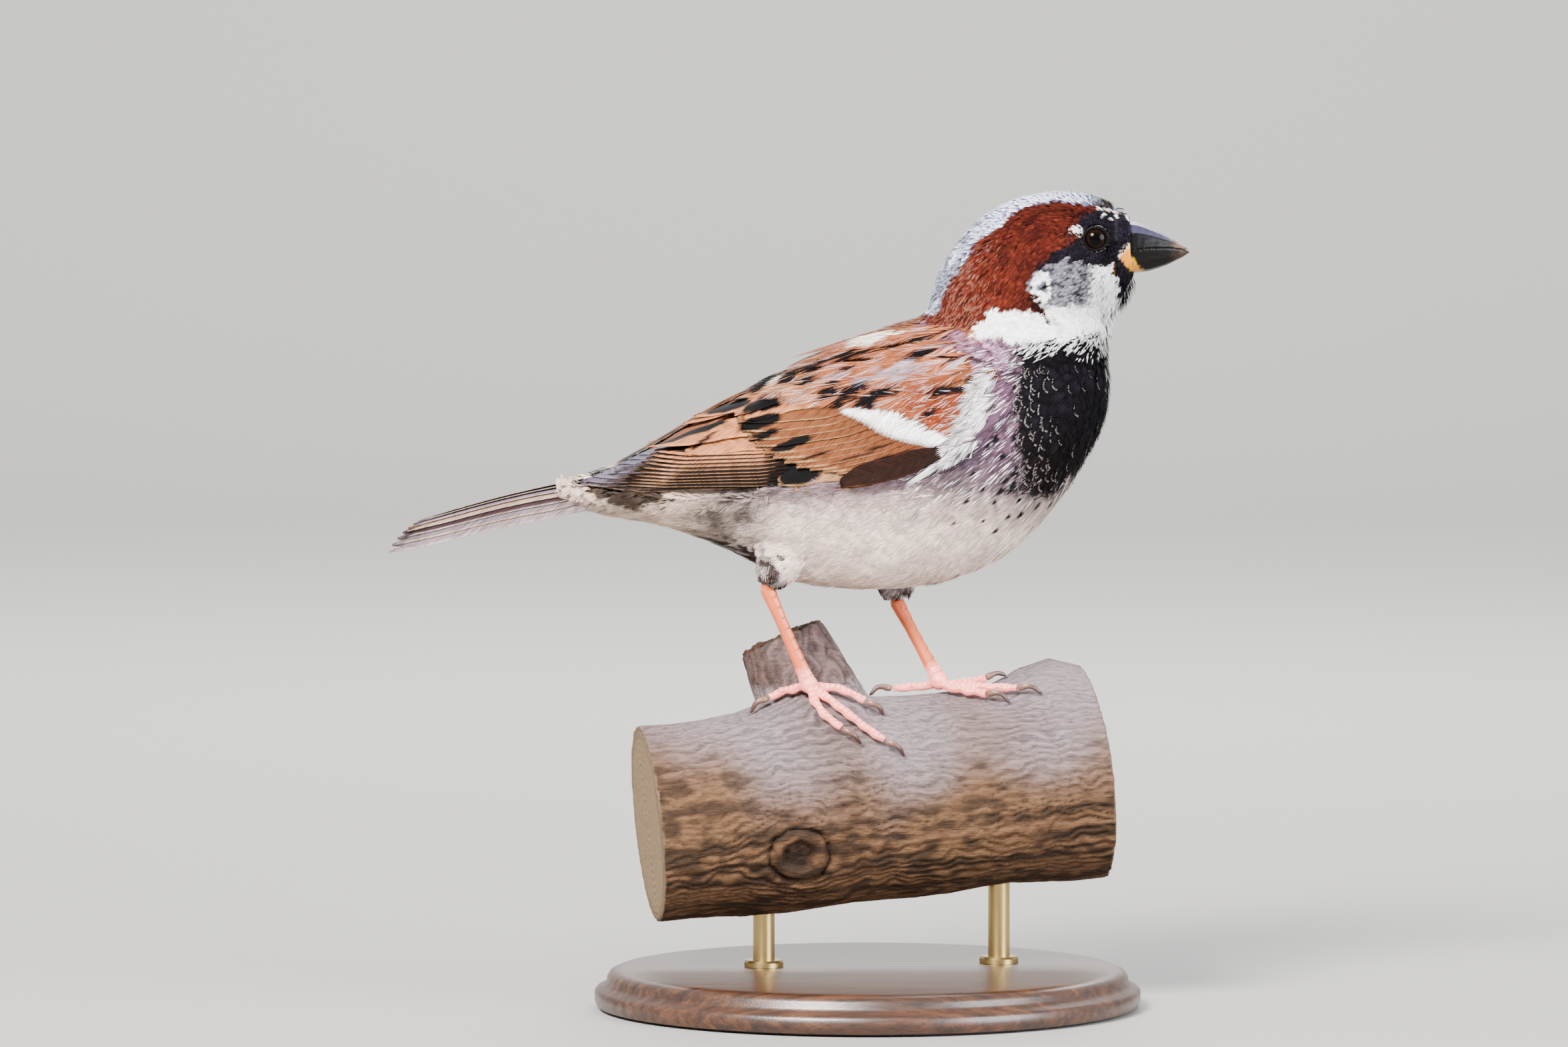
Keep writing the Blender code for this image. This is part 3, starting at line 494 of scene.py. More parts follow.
(GREY_CROWN, CROWN_TIP, CHESTNUT_DEEP, CHESTNUT_LIT, BLACK, BIB_SHEEN, CHEEK_WHITE, CHEEK_GREY,
 COLLAR_WHITE) = linear(
    "#6B7196", "#E4EDFF", "#2C0D09", "#582014", "#060506", "#0C0810", "#F6F4F4", "#75737C", "#FFFEFC")
# The fifth of these is the brown of painted shade under the wing tips.
(BREAST_GREY, FLANK, BELLY, VENT, BROWN_WINGTIP_SHADE, RUFOUS, RUFOUS_DULL, STREAK, RUMP) = linear(
    "#413B43", "#755369", "#F2DCCD", "#FFE2CE", "#2C2119", "#8C4E30", "#6C472E", "#0A080A", "#5C5148")
# The first is the dark brown of painted shade under the wing, behind the thigh.
SHADE_UNDER_WING, GAPE_YELLOW, NAPE_PINK = linear("#2E2724", "#DD9112", "#9E7060")


def strokes(points, seed):
    """Noise from -1 to 1 drawn out along the coat's lie, several times as long as it is wide."""
    x, y, z = points.T
    turn = np.radians(18 + 42 * smooth(40 - x, 0, 16))
    dx, dz = x - 33, z - 134
    on_head = np.stack([(dx * np.sin(turn) - dz * np.cos(turn)) / 0.45,
                        (dx * np.cos(turn) + dz * np.sin(turn)) / 2.6, y / 2], 1)
    flow_x, flow_z = x - FLOW_FROM[0], z - FLOW_FROM[2]
    bearing, reach = np.arctan2(flow_z, flow_x), np.hypot(flow_x, flow_z)
    on_body = np.stack([bearing * 55 / 0.55, reach / 4.5, y / 3], 1)
    return clouds(np.where((z > NECK_LINE)[:, None], on_head, on_body), 1.0, seed)


def markings_and_shade(points, jitter=0.0):
    """The male's plumage colour and painted shade at each place, and how far single barbs differ from it."""
    spots = points + jitter * rng.normal(size=points.shape)
    x, y, z = spots.T
    left = np.clip(y / 4.0, -1, 1)
    under = smooth(z, 84, 100)
    colour = mix(BELLY, mix(BREAST_GREY, FLANK, 0.5 + 0.5 * clouds(points, 5.0, 2.0)),
                 under * smooth(42 - x, 0, 12))
    colour = mix(colour, VENT, smooth(-x, 22, 36))
    side_breast = smooth(x, -4, 12) * smooth(z, 86, 98)
    contrast = 0.16 + 0.40 * side_breast + 0.10 * smooth(-x, 5, 20)
    colour = colour * (1 + (0.10 + 0.22 * side_breast + 0.12 * smooth(-x, 5, 20))
                       * strokes(points, 6.0))[:, None]
    # Feather groups painted lighter and darker in patches along the lie: painted light and shade of soft
    # mounds.
    lie = np.stack([0.72 * x + 0.69 * z, y, 2.6 * (0.69 * x - 0.72 * z)], 1)
    group_shading = smooth(clouds(lie, 6.0, 14.0) + 0.6 * clouds(lie, 2.8, 18.0), -0.5, 0.5)
    colour = colour * (0.80 + 0.26 * group_shading)[:, None]
    # Painted shade under the folded wing: the flank darker towards the wing and towards the rear.
    colour = colour * (1 - 0.30 * smooth(z, 88, 93) * smooth(-x, 20, 28))[:, None]
    # A patch of painted shade under the wing, behind the thigh, in dark brown.
    wing_shade = np.clip(1.45 - np.hypot((x + 25.5) / 7.0, (z - 90) / 7.0), 0, 1)
    wing_shade = wing_shade * (0.72 + 0.6 * clouds(points, 2.5, 11.0))
    colour = mix(colour, SHADE_UNDER_WING, np.clip(wing_shade, 0, 0.88))
    # Painted shade under the wing tips, in brown.
    colour = mix(colour, BROWN_WINGTIP_SHADE * 0.8, 0.95 * inside(WINGTIP_SHADE, x, z))
    above = inside(SCAPULAR, x, z)
    back = mix(mix(RUFOUS, RUFOUS_DULL, 0.35 + 0.4 * clouds(points, 3.0, 4.0)), RUMP, smooth(-x, 30, 44))
    colour[above] = back[above]
    nape_side = inside(GREY_SHOULDER, x, z)
    grey_mix = mix(np.tile(FLANK * 1.9, (len(x), 1)), STREAK,
                   0.55 * smooth(clouds(points, 1.3, 7.0), 0.1, 0.4))
    colour[nape_side] = mix(grey_mix, CHESTNUT_LIT, 0.5 * smooth(19 - x, 0, 5))[nape_side]
    # The bib reaches further round on the bird's right, where the breast is turned.
    bib_x = x - 5.5 * smooth(left, -0.4, 0.8) + 1.3 * clouds(points, 1.7, 12.0)
    bib = inside(BIB, bib_x, z + 0.9 * clouds(points, 1.4, 15.0))
    edge = inside(BIB, bib_x + 2.2, z + 1.6) & ~bib & (z < 112)
    colour[bib] = mix(BLACK, BIB_SHEEN, 0.35 + 0.35 * clouds(points, 2.0, 6.0))[bib]
    contrast = np.where(bib, 0.45, contrast)
    collar = inside(COLLAR, x, z)
    colour[collar] = (COLLAR_WHITE * (1 - 0.35 * smooth(strokes(points, 4.0), 0.1, 0.5))[:, None])[collar]
    contrast = np.where(collar, 0.13, contrast)
    cheek = (z > NECK_LINE) & (x > 28.6) & (x < 44.9) & (z > 126.5) & (z < 136.9) & ~inside(LORES, x, z)
    grey = smooth(41.2 - x, 0, 2.2) * smooth(z, 127.4, 129.4)
    streaks = smooth(strokes(points * 1.25, 8.0), 0.0, 0.28)
    colour[cheek] = mix(mix(CHEEK_WHITE, CHEEK_GREY, 0.12 + 0.88 * grey), BLACK,
                        (0.10 + 0.75 * grey) * streaks)[cheek]
    contrast = np.where(cheek, 0.08 + 0.42 * grey, contrast)
    chestnut = inside(CHESTNUT, x, z)
    warmth = 0.42 + 0.3 * clouds(points, 4.0, 3.0) + 0.55 * strokes(points, 3.0) + 0.3 * smooth(30 - x, 0, 14)
    colour[chestnut] = mix(CHESTNUT_DEEP, CHESTNUT_LIT, np.clip(warmth, 0, 1.3))[chestnut]
    contrast = np.where(chestnut, 0.42, contrast)
    crown = inside(CROWN, x, z)
    colour[crown] = GREY_CROWN
    contrast = np.where(crown, 0.2, contrast)
    lores = inside(LORES, x, z)
    colour[lores] = mix(BLACK, BIB_SHEEN * 4.0, 0.4 + 0.6 * strokes(points, 2.0))[lores]
    contrast = np.where(lores, 0.4, contrast)
    side_x, side_z = points[:, 0], points[:, 2]
    spot = ((side_x - 37.4) / 1.0) ** 2 + ((side_z - 142.1) / 0.8) ** 2 < 1
    colour[spot] = COLLAR_WHITE
    loop = np.hypot((side_x - 31.6) / 1.0, (side_z - 131.8) / 1.25)
    colour[(loop > 1.0) & (loop < 2.3) & (side_x < 32.8)] = COLLAR_WHITE
    notch = np.hypot((side_x - 31.9 - 0.25 * (side_z - 132.0)) / 0.5, (side_z - 132.1) / 1.0) < 1
    colour[notch] = BLACK
    line = inside([(29.0, 130.6), (28.6, 129.6), (30.2, 127.6), (33.0, 124.9), (33.4, 125.5),
                   (31.6, 128.2)], side_x, side_z)
    colour[line] = mix(BLACK, CHESTNUT_DEEP, 0.5)
    for fx, fz, size in ((42.5, 144.8, 0.42), (44.0, 144.1, 0.34), (45.3, 144.6, 0.42), (47.0, 144.2, 0.4)):
        colour[np.hypot((side_x - fx) / 0.75, side_z - fz) < 0.85 * size] = COLLAR_WHITE
    colour[inside(GAPE_SKIN, side_x, side_z)] = GAPE_YELLOW
    return np.clip(colour, 0, 1), contrast, edge


FLESH = ["head", "neck", "trunk", "shin_left", "shin_right"]
WINGS = [f"wing_{part}_{side}" for part in ("coverts", "secondaries", "primaries")
         for side in ("left", "right")]
GROWN = 0.4


def body_form(*nodes):
    """The flesh as one closed surface, with the eye holes and the bill's seat filled."""
    bm = copy_of(*nodes)
    bmesh.ops.recalc_face_normals(bm, faces=bm.faces)
    for sign in (1, -1):
        ball = bmesh.ops.create_uvsphere(bm, u_segments=24, v_segments=16, radius=2.55)
        bmesh.ops.translate(bm, verts=ball["verts"], vec=EYE * (1, sign, 1))
    plug = bmesh.ops.create_uvsphere(bm, u_segments=24, v_segments=16, radius=1)
    bmesh.ops.scale(bm, verts=plug["verts"], vec=(1.2, 3.0, 4.0))
    bmesh.ops.translate(bm, verts=plug["verts"], vec=(45.2, 0, 139.0))
    mesh = remeshed(bm, 0.62, smoothing=4, grow_mm=GROWN)
    return mesh, *points_of(mesh)


def tree_of(mesh, points):
    return BVHTree.FromPolygons([tuple(v) for v in points], [tuple(f.vertices) for f in mesh.polygons])


# The shell is the bird's outer surface, wings and all. The skin lies under the coat and the wings' feathers.
shell_mesh, p, n = body_form(*FLESH, *WINGS)
shell_tree = tree_of(shell_mesh, p - n * GROWN)
bpy.data.meshes.remove(shell_mesh)
skin_mesh, p, n = body_form(*FLESH, "wing_coverts_left", "wing_coverts_right")
face = smooth(np.linalg.norm(p - BILL_ROOT, axis=1), 6, 22)
shin = smooth(82 - p[:, 2], 0, 3) * (np.abs(p[:, 1]) > 3)
depth = (FACE_DEPTH + (COAT_DEPTH - FACE_DEPTH) * face) * (1 - 0.35 * shin)
p = p - n * (depth + GROWN)[:, None]
set_points(skin_mesh, p, 1.0)
p, n = points_of(skin_mesh)
skin_points, skin_normals = p, n
skin_tree = tree_of(skin_mesh, p)
skin_faces = np.array([f.vertices[:4] if len(f.vertices) == 4 else (*f.vertices, f.vertices[2])
                       for f in skin_mesh.polygons])
face_normals = skin_normals[skin_faces].mean(1)
face_normals /= np.linalg.norm(face_normals, axis=1)[:, None]


def bare_skin():
    """Skin under the coat: dull, painted with the coat's markings so that no gap between feathers shows."""
    made, shader = new_material("skin_under_coat", 0.85, Specular_IOR_Level=0.2)
    place = add(made, "ShaderNodeTexCoord").outputs["Object"]
    paint_in = add(made, "ShaderNodeAttribute", {"attribute_name": "coat"}).outputs["Color"]
    down = add(made, "ShaderNodeTexNoise", Vector=place, Scale=2.4 / MM, Detail=3.0)
    rough = add(made, "ShaderNodeBump", Height=down.outputs["Fac"], Strength=0.6, Distance=0.4 * MM)
    connect(made, shader, Base_Color=paint_in, Normal=rough.outputs[0])
    return made


skin_colour, *_ = markings_and_shade(p)
set_points(skin_mesh, p)
# The skin is painted at 0.7 of the coat's colours: painted shade down among the feathers.
paint(skin_mesh, "coat", skin_colour * 0.7)
skin = fix("body_skin", skin_mesh, bare_skin(), "plumage_under", *FLESH)
bpy.context.view_layer.objects.active = skin
skin.select_set(True)
bpy.ops.object.mode_set(mode="EDIT")
bpy.ops.mesh.select_all(action="SELECT")
bpy.ops.uv.smart_project(angle_limit=math.radians(72), island_margin=0.004)
bpy.ops.object.mode_set(mode="OBJECT")
skin.data.uv_layers[0].name = "OFBake"
loops = np.empty(len(skin_mesh.loops) * 2, np.float32)
skin_mesh.uv_layers[0].data.foreach_get("uv", loops)
starts = np.array([f.loop_start for f in skin_mesh.polygons])
face_uv = np.stack([loops.reshape(-1, 2)[starts + k] for k in range(3)], 1).mean(1)

# ================================================================ eyes
# Dark brown eyes, 5.4 mm across under the lids, sitting as deep as the sockets. Round each one runs a lid
# ring of bare near-black skin, set with small beads from dark to grey-brown.

EYE_RADIUS = 2.7
LID_OPENING = 1.95
LID_BEADS = 38


def eye_glass():
    """Wet eye: near-black pupil in a dark brown iris, under a clear glossy cornea."""
    made, shader = new_material("eye_wet", 0.03, IOR=1.33, Specular_IOR_Level=0.13)
    place = add(made, "ShaderNodeTexCoord").outputs["Object"]
    flat = add(made, "ShaderNodeVectorMath", {"operation": "MULTIPLY_ADD"}, i0=place, i1=(1, 0, 1),
               i2=(-EYE[0] * MM, 0, -EYE[2] * MM))
    away = add(made, "ShaderNodeVectorMath", {"operation": "LENGTH"}, i0=flat.outputs[0])
    share = add(made, "ShaderNodeMath", {"operation": "MULTIPLY"}, i0=away.outputs["Value"],
                i1=1 / (EYE_RADIUS * MM))
    stops = [(0.0, srgb("#020101")), (0.40, srgb("#030202")), (0.46, srgb("#130704")),
             (0.60, srgb("#0E0503")), (0.70, srgb("#020101"))]
    colour = add(made, "ShaderNodeValToRGB", stops=stops, Fac=share.outputs[0])
    connect(made, shader, Base_Color=colour.outputs[0])
    return made


def lid_skin():
    """Bare lid skin: matt and near-black, with paler beads, painted in the 'skin' attribute."""
    made, shader = new_material("lid_skin", 0.6, Specular_IOR_Level=0.04)
    paint_in = add(made, "ShaderNodeAttribute", {"attribute_name": "skin"}).outputs["Color"]
    connect(made, shader, Base_Color=paint_in)
    return made


wet, lid_finish = eye_glass(), lid_skin()
for side_name, sign in (("left", 1), ("right", -1)):
    bm = bmesh.new()
    bmesh.ops.create_uvsphere(bm, u_segments=48, v_segments=32, radius=EYE_RADIUS)
    bmesh.ops.rotate(bm, verts=bm.verts, matrix=Matrix.Rotation(math.radians(90), 3, "X"))
    bmesh.ops.translate(bm, verts=bm.verts, vec=EYE * (1, sign, 1))
    show(f"eye_{side_name}_wet", bm, wet, "eye", f"eye_{side_name}")
    bm = bmesh.new()
    bmesh.ops.create_circle(bm, segments=14, radius=0.34)
    bmesh.ops.translate(bm, verts=bm.verts, vec=(LID_OPENING + 0.2, 0, 0))
    bmesh.ops.spin(bm, geom=bm.verts[:] + bm.edges[:], cent=(0, 0, 0), axis=(0, 1, 0), angle=2 * math.pi,
                   steps=56, use_merge=True)
    bmesh.ops.remove_doubles(bm, verts=bm.verts, dist=0.001)
    ring_count = len(bm.verts)
    for k in range(LID_BEADS):
        turn_k = 2 * math.pi * (k + 0.9 * rng.random()) / LID_BEADS
        reach_k = LID_OPENING + 0.36 + 0.26 * rng.random()
        size_k = 0.06 + 0.07 * rng.random() - 0.02 * math.sin(turn_k)
        bead = bmesh.ops.create_icosphere(bm, subdivisions=1, radius=size_k)
        spot_k = (reach_k * math.cos(turn_k), sign * 0.22, reach_k * math.sin(turn_k))
        bmesh.ops.translate(bm, verts=bead["verts"], vec=spot_k)
    bmesh.ops.scale(bm, verts=bm.verts, vec=(1.03, 1, 0.95))
    bmesh.ops.translate(bm, verts=bm.verts, vec=EYE * (1, sign, 1) + (0, sign * 1.82, 0))
    bmesh.ops.recalc_face_normals(bm, faces=bm.faces)
    total = len(bm.verts)
    piece = show(f"lid_{side_name}", bm, lid_finish, "plumage_head")
    ring_tone, bead_dark, bead_pale = linear("#070606", "#14100F", "#5C524E")
    shades = rng.random((LID_BEADS, 1)).repeat((total - ring_count) // LID_BEADS, axis=0)
    bead_tones = bead_dark * (1 - shades) + bead_pale * shades
    paint(piece.data, "skin", np.concatenate([np.tile(ring_tone, (ring_count, 1)), bead_tones]))

# ================================================================ bill
# A short, stout seed-eater's bill in two halves of horn: slate black, shiny along the top ridge, horn-brown
# at the tip, with yellow skin where the lower half meets the face.


def bill_horn():
    """Bill horn: slate black with fine growth lines, a low waxy gloss, painted in the 'horn' attribute."""
    made, shader = new_material("bill_horn", 0.32, Specular_IOR_Level=0.12)
    place = add(made, "ShaderNodeTexCoord").outputs["Object"]
    paint_in = add(made, "ShaderNodeAttribute", {"attribute_name": "horn"}).outputs["Color"]
    drawn_out = add(made, "ShaderNodeMapping", Vector=place, Scale=per_mm(0.5, 2.2, 2.2))
    line = add(made, "ShaderNodeTexNoise", Vector=drawn_out.outputs[0], Scale=1.0, Detail=4.0)
    growth = add(made, "ShaderNodeBump", Height=line.outputs["Fac"], Strength=0.35, Distance=0.15 * MM)
    connect(made, shader, Base_Color=paint_in, Normal=growth.outputs[0])
    return made


horn = bill_horn()
slate, culmen_sheen, horn_tip, jaw_brown = linear("#060608", "#52526A", "#6B5340", "#090502")
gape_yellow, gape_shade = linear("#EEB105", "#CC9440")
for half in ("upper", "lower"):
    half_mesh = remeshed(copy_of(f"bill_{half}"), 0.17, smoothing=3)
    p, n = points_of(half_mesh)
    x, y, z = p.T
    nostril = np.exp(-(((x - 47.3) / 0.62) ** 2 + ((z - 141.5) / 0.42) ** 2) ** 2) * (half == "upper")
    ripple = 0.03 * clouds(p * (0.5, 2, 2), 1.2, 3.0)
    p = p - n * (0.55 * nostril + ripple + 0.02)[:, None]
    # The two halves meet along the closed cutting edges.
    meeting = 0.34 * smooth(n[:, 2], 0.3, 0.8) if half == "lower" else -0.1 * smooth(-n[:, 2], 0.3, 0.8)
    p[:, 2] += meeting * smooth(59 - x, 0, 2)
    ridge = smooth(n[:, 2], 0.45, 0.95) * smooth(57.5 - x, 0, 3)
    colour = mix(np.tile(slate, (len(p), 1)), culmen_sheen, 0.75 * ridge * (half == "upper"))
    tip_tone = smooth(x, 54.6, 57.4) * (0.75 if half == "upper" else 0.45)
    colour = mix(colour, horn_tip, tip_tone)
    if half == "lower":
        colour = mix(colour, jaw_brown, 0.5 + 0.4 * smooth(clouds(p, 1.5, 2.0), 0.0, 0.4))
        gape = smooth(49.4 - x + 0.9 * clouds(p, 0.8, 5.0) - 0.9 * (z - 135.6), -0.5, 0.7)
    else:
        gape = 0.6 * smooth(47.3 - x + 0.8 * clouds(p, 0.6, 5.0), -0.3, 0.5) * smooth(139.6 - z, 0, 0.8)
    # The lower half's upward faces, in the gap under the upper half, are painted near black: painted shade.
    gap_shade = smooth(n[:, 2], 0.2, 0.7) * (half == "lower")
    colour = mix(colour, slate * 0.4, gap_shade)
    lit = mix(np.broadcast_to(gape_yellow, p.shape), gape_shade,
              smooth(135.6 - z + 0.8 * clouds(p, 0.6, 2.0), -0.5, 0.6))
    colour = mix(colour, lit * (0.8 + 0.35 * clouds(p, 0.5, 9.0))[:, None], 0.92 * gape)
    # The nostril's hollow is painted near black: painted shade.
    colour = mix(colour, np.zeros(3), 0.7 * nostril)
    set_points(half_mesh, p)
    paint(half_mesh, "horn", np.clip(colour, 0, 1))
    fix(f"bill_{half}_horn", half_mesh, horn, "bill_horn", f"bill_{half}")

# ================================================================ body feathers
# Small feathers laid one by one over the skin from bill to tail: hair-like tufts on the face and shins,
# little scales on the crown, combs of barbs on bib and breast, soft plumes elsewhere. Shortest on the face.

LIE_BACK = 0.35
BAKE_PATCH = 0.003
BIB_TOP = 117.6
MOST_TRIANGLES = 190000  # in one piece of the coat


def as_template(bm):
    """A feather shape as points (along 0 to 1, across -1 to 1, lift) and four-cornered faces."""
    bm.verts.index_update()
    points = np.array([v.co for v in bm.verts])
    corners = np.array([[v.index for v in f.verts] for f in bm.faces])
    bm.free()
    return points, corners


def barb(bm, root, tip, wide, lift=0.0):
    """A thin kite between two places on a feather."""
    made = bmesh.ops.create_circle(bm, segments=4, radius=1.0, cap_ends=True)
    way = Vector(tip) - Vector(root)
    bmesh.ops.scale(bm, verts=made["verts"], vec=(way.length / 2, wide, 1))
    bmesh.ops.rotate(bm, verts=made["verts"], matrix=Matrix.Rotation(math.atan2(way.y, way.x), 3, "Z"))
    bmesh.ops.translate(bm, verts=made["verts"], vec=((root[0] + tip[0]) / 2, (root[1] + tip[1]) / 2, lift))


def tuft(count, wide, seed, taper=0.18):
    """A little brush of hair-like barbs from one root, the outer ones shorter by the taper."""
    luck = np.random.default_rng(seed)
    bm = bmesh.new()
    for k in range(count):
        side = (k + 0.5) / count * 2 - 1
        tip = (1 - taper * side**2 - 0.16 * luck.random(), side * (0.9 + 0.2 * luck.random()), 0)
        barb(bm, (0.12 * luck.random(), side * 0.35, 0), tip, wide, 0.12 * luck.random())
    return as_template(bm)


def plume(count, wide, seed):
    """A soft feather: barbs fan from a shaft and end on a rounded outline."""
    luck = np.random.default_rng(seed)
    bm = bmesh.new()
    for k in range(count):
        turn_k = ((k + 0.5) / count * 2 - 1) * 2.05
        reach_k = 1 - 0.1 * luck.random()
        tip = (0.58 + 0.42 * reach_k * math.cos(turn_k), reach_k * math.sin(turn_k), 0)
        root = (max(0.0, tip[0] - 0.40 - 0.12 * abs(math.cos(turn_k))), tip[1] * 0.06, 0)
        barb(bm, root, tip, wide, 0.1 * luck.random())
    return as_template(bm)


def comb(count, wide, rim, seed):
    """A flat soft feather: long barbs side by side, and a row of short ones along its rounded end."""
    luck = np.random.default_rng(seed)
    bm = bmesh.new()
    for k in range(count):
        side = (k + 0.5) / count * 2 - 1
        end = 1 - 0.30 * side**2 - 0.07 * luck.random()
        barb(bm, (end - 0.66, side * 0.6, 0), (end, side * (0.92 + 0.08 * luck.random()), 0), wide,
             0.05 * luck.random())
    for k in range(rim):
        side = (k + 0.5 + 0.3 * luck.random()) / rim * 2 - 1
        end = 1 - 0.30 * side**2
        barb(bm, (end - 0.07, side * 0.93, 0), (end + 0.03, side * 0.97, 0), wide, 0.08)
    return as_template(bm)


def vane(along, across, ragged, seed):
    """A firm feather: a bent sheet with a rounded tip and slightly notched edges."""
    luck = np.random.default_rng(seed)
    bm = bmesh.new()
    bmesh.ops.create_grid(bm, x_segments=along, y_segments=across, size=1.0)
    for v in bm.verts:
        u, side = (v.co.x + 1) / 2, v.co.y
        end = max(0.0, (u - 0.72) / 0.28)
        wide = (0.5 + 0.5 * min(1.0, u / 0.35)) * (1 - 0.35 * end**2.2)
        notch = 1 - ragged * luck.random() * (abs(side) > 0.95)
        rounding = 0.16 * end * side**2
        v.co = (u - rounding - 0.4 * ragged * luck.random() * (u > 0.99), side * wide * notch,
                0.10 * (1 - side**2))
    bmesh.ops.recalc_face_normals(bm, faces=bm.faces)
    return as_template(bm)


def lay_spines(roots, ways, lengths, tree, count=5):
    """Walks each feather's shaft over a surface. Gives places, outward and sideways directions."""
    total = len(roots)
    places, ups = np.empty((total, count, 3)), np.empty((total, count, 3))
    step = (lengths / (count - 1))[:, None]
    spot, way = roots.copy(), ways.copy()
    for k in range(count):
        found = [tree.find_nearest(Vector(q)) for q in spot]
        spot = np.array([f[0] for f in found])
        up = np.array([f[1] for f in found])
        places[:, k], ups[:, k] = spot, up
        way = way - up * (way * up).sum(1)[:, None]
        way /= np.linalg.norm(way, axis=1)[:, None] + 1e-9
        spot = spot + way * step
    ups[:, 1:-1] = (ups[:, :-2] + 2 * ups[:, 1:-1] + ups[:, 2:]) / 4
    ups /= np.linalg.norm(ups, axis=2)[..., None]
    runs = np.gradient(places, axis=1)
    sides = np.cross(ups, runs)
    sides /= np.linalg.norm(sides, axis=2)[..., None] + 1e-9
    return places, ups, sides


def stretch(rows, share):
    """Values of each spine at a share of its length, for every template point."""
    at = np.clip(share, 0, 1) * (rows.shape[1] - 1)
    low = np.minimum(at.astype(int), rows.shape[1] - 2)
    rest = (at - low)[None, :, None]
    return rows[:, low] * (1 - rest) + rows[:, low + 1] * rest


class Coat:
    """Feathers gathered for one region, and joined at the end in pieces that aren't too large."""

    def __init__(self):
        self.batches = []

    def put(self, shape, spines, widths, lift, colours, root_uv, lengths, mirrored=False):
        """Adds a batch. Colours are given for every point, or as a function of the points' places."""
        points, corners = shape
        places, ups, sides = spines
        u, v, w = points.T
        rise = lift(u[None, :])
        grown = stretch(places, u) + stretch(sides, u) * (v[None, :] * widths[:, None])[..., None]
        grown += stretch(ups, u) * (rise + w[None, :] * widths[:, None])[..., None]
        if callable(colours):
            colours = colours(grown)
        if mirrored:
            grown = grown * (1, -1, 1)
            corners = corners[:, ::-1]
        barbs = np.stack([u[None, :] * lengths[:, None], v[None, :] * widths[:, None]], 2)
        patch = np.stack([u - 0.5, v * 0.5], 1)[None] * BAKE_PATCH + root_uv[:, None]
        self.batches.append((grown, corners, np.clip(colours, 0, 1), barbs, patch))

    def sew(self, name, material, slot, *replaced):
        """Joins what was gathered. Tufts stay whole in one piece."""
        pieces, held, count = [], [], 0
        for grown, corners, colours, barbs, patch in self.batches:
            done = 0
            while done < len(grown):
                room = max(1, (MOST_TRIANGLES - count) // (2 * len(corners)))
                take = slice(done, done + room)
                held.append((grown[take], corners, colours[take], barbs[take], patch[take]))
                count += 2 * len(corners) * len(grown[take])
                done += room
                if count > MOST_TRIANGLES - 1000:
                    pieces.append(held)
                    held, count = [], 0
        if held:
            pieces.append(held)
        for number, batch in enumerate(pieces):
            mesh = bpy.data.meshes.new(name)
            faces, base = [], 0
            for grown, corners, *_ in batch:
                first = base + np.arange(len(grown)) * grown.shape[1]
                faces.append((corners[None] + first[:, None, None]).reshape(-1, 4))
                base += grown.shape[0] * grown.shape[1]
            faces = np.concatenate(faces)
            mesh.vertices.add(base)
            places = np.concatenate([b[0].reshape(-1, 3) for b in batch]) * MM
            mesh.vertices.foreach_set("co", places.astype(np.float32).ravel())
            mesh.loops.add(faces.size)
            mesh.loops.foreach_set("vertex_index", faces.astype(np.int32).ravel())
            mesh.polygons.add(len(faces))
            mesh.polygons.foreach_set("loop_start", np.arange(0, faces.size, 4, dtype=np.int32))
            for uv_name, item in (("OFBake", 4), ("barbs", 3)):
                layer = mesh.uv_layers.new(name=uv_name)
                values = np.concatenate([b[item].reshape(-1, 2) for b in batch])
                layer.data.foreach_set("uv", values[faces.ravel()].astype(np.float32).ravel())
            mesh.update(calc_edges=True)
            mesh.validate()
            paint(mesh, "coat", np.concatenate([b[2].reshape(-1, 3) for b in batch]))
            fix(f"{name}_{number + 1}", mesh, material, slot, *(replaced if number == 0 else ()))


def soft_plumage():
    """Loose feather barbs: matt, finely mottled, coloured by the 'coat' attribute."""
    made, shader = new_material("plumage_soft", 0.8, Specular_IOR_Level=0.06)
    paint_in = add(made, "ShaderNodeAttribute", {"attribute_name": "coat"}).outputs["Color"]
    place = add(made, "ShaderNodeTexCoord").outputs["Object"]
    fine = add(made, "ShaderNodeTexNoise", Vector=place, Scale=3.5 / MM, Detail=2.0)
    shades = [(0.35, srgb("#C4C0BE")), (0.6, srgb("#FFFFFF"))]
    shade = add(made, "ShaderNodeValToRGB", stops=shades, Fac=fine.outputs["Fac"])
    colour = add(made, "ShaderNodeMix", MULTIPLIED, i0=0.35, i6=paint_in, i7=shade.outputs[0])
    connect(made, shader, Base_Color=colour.outputs[2])
    return made


BARB_GAP = 0.27  # in millimetres


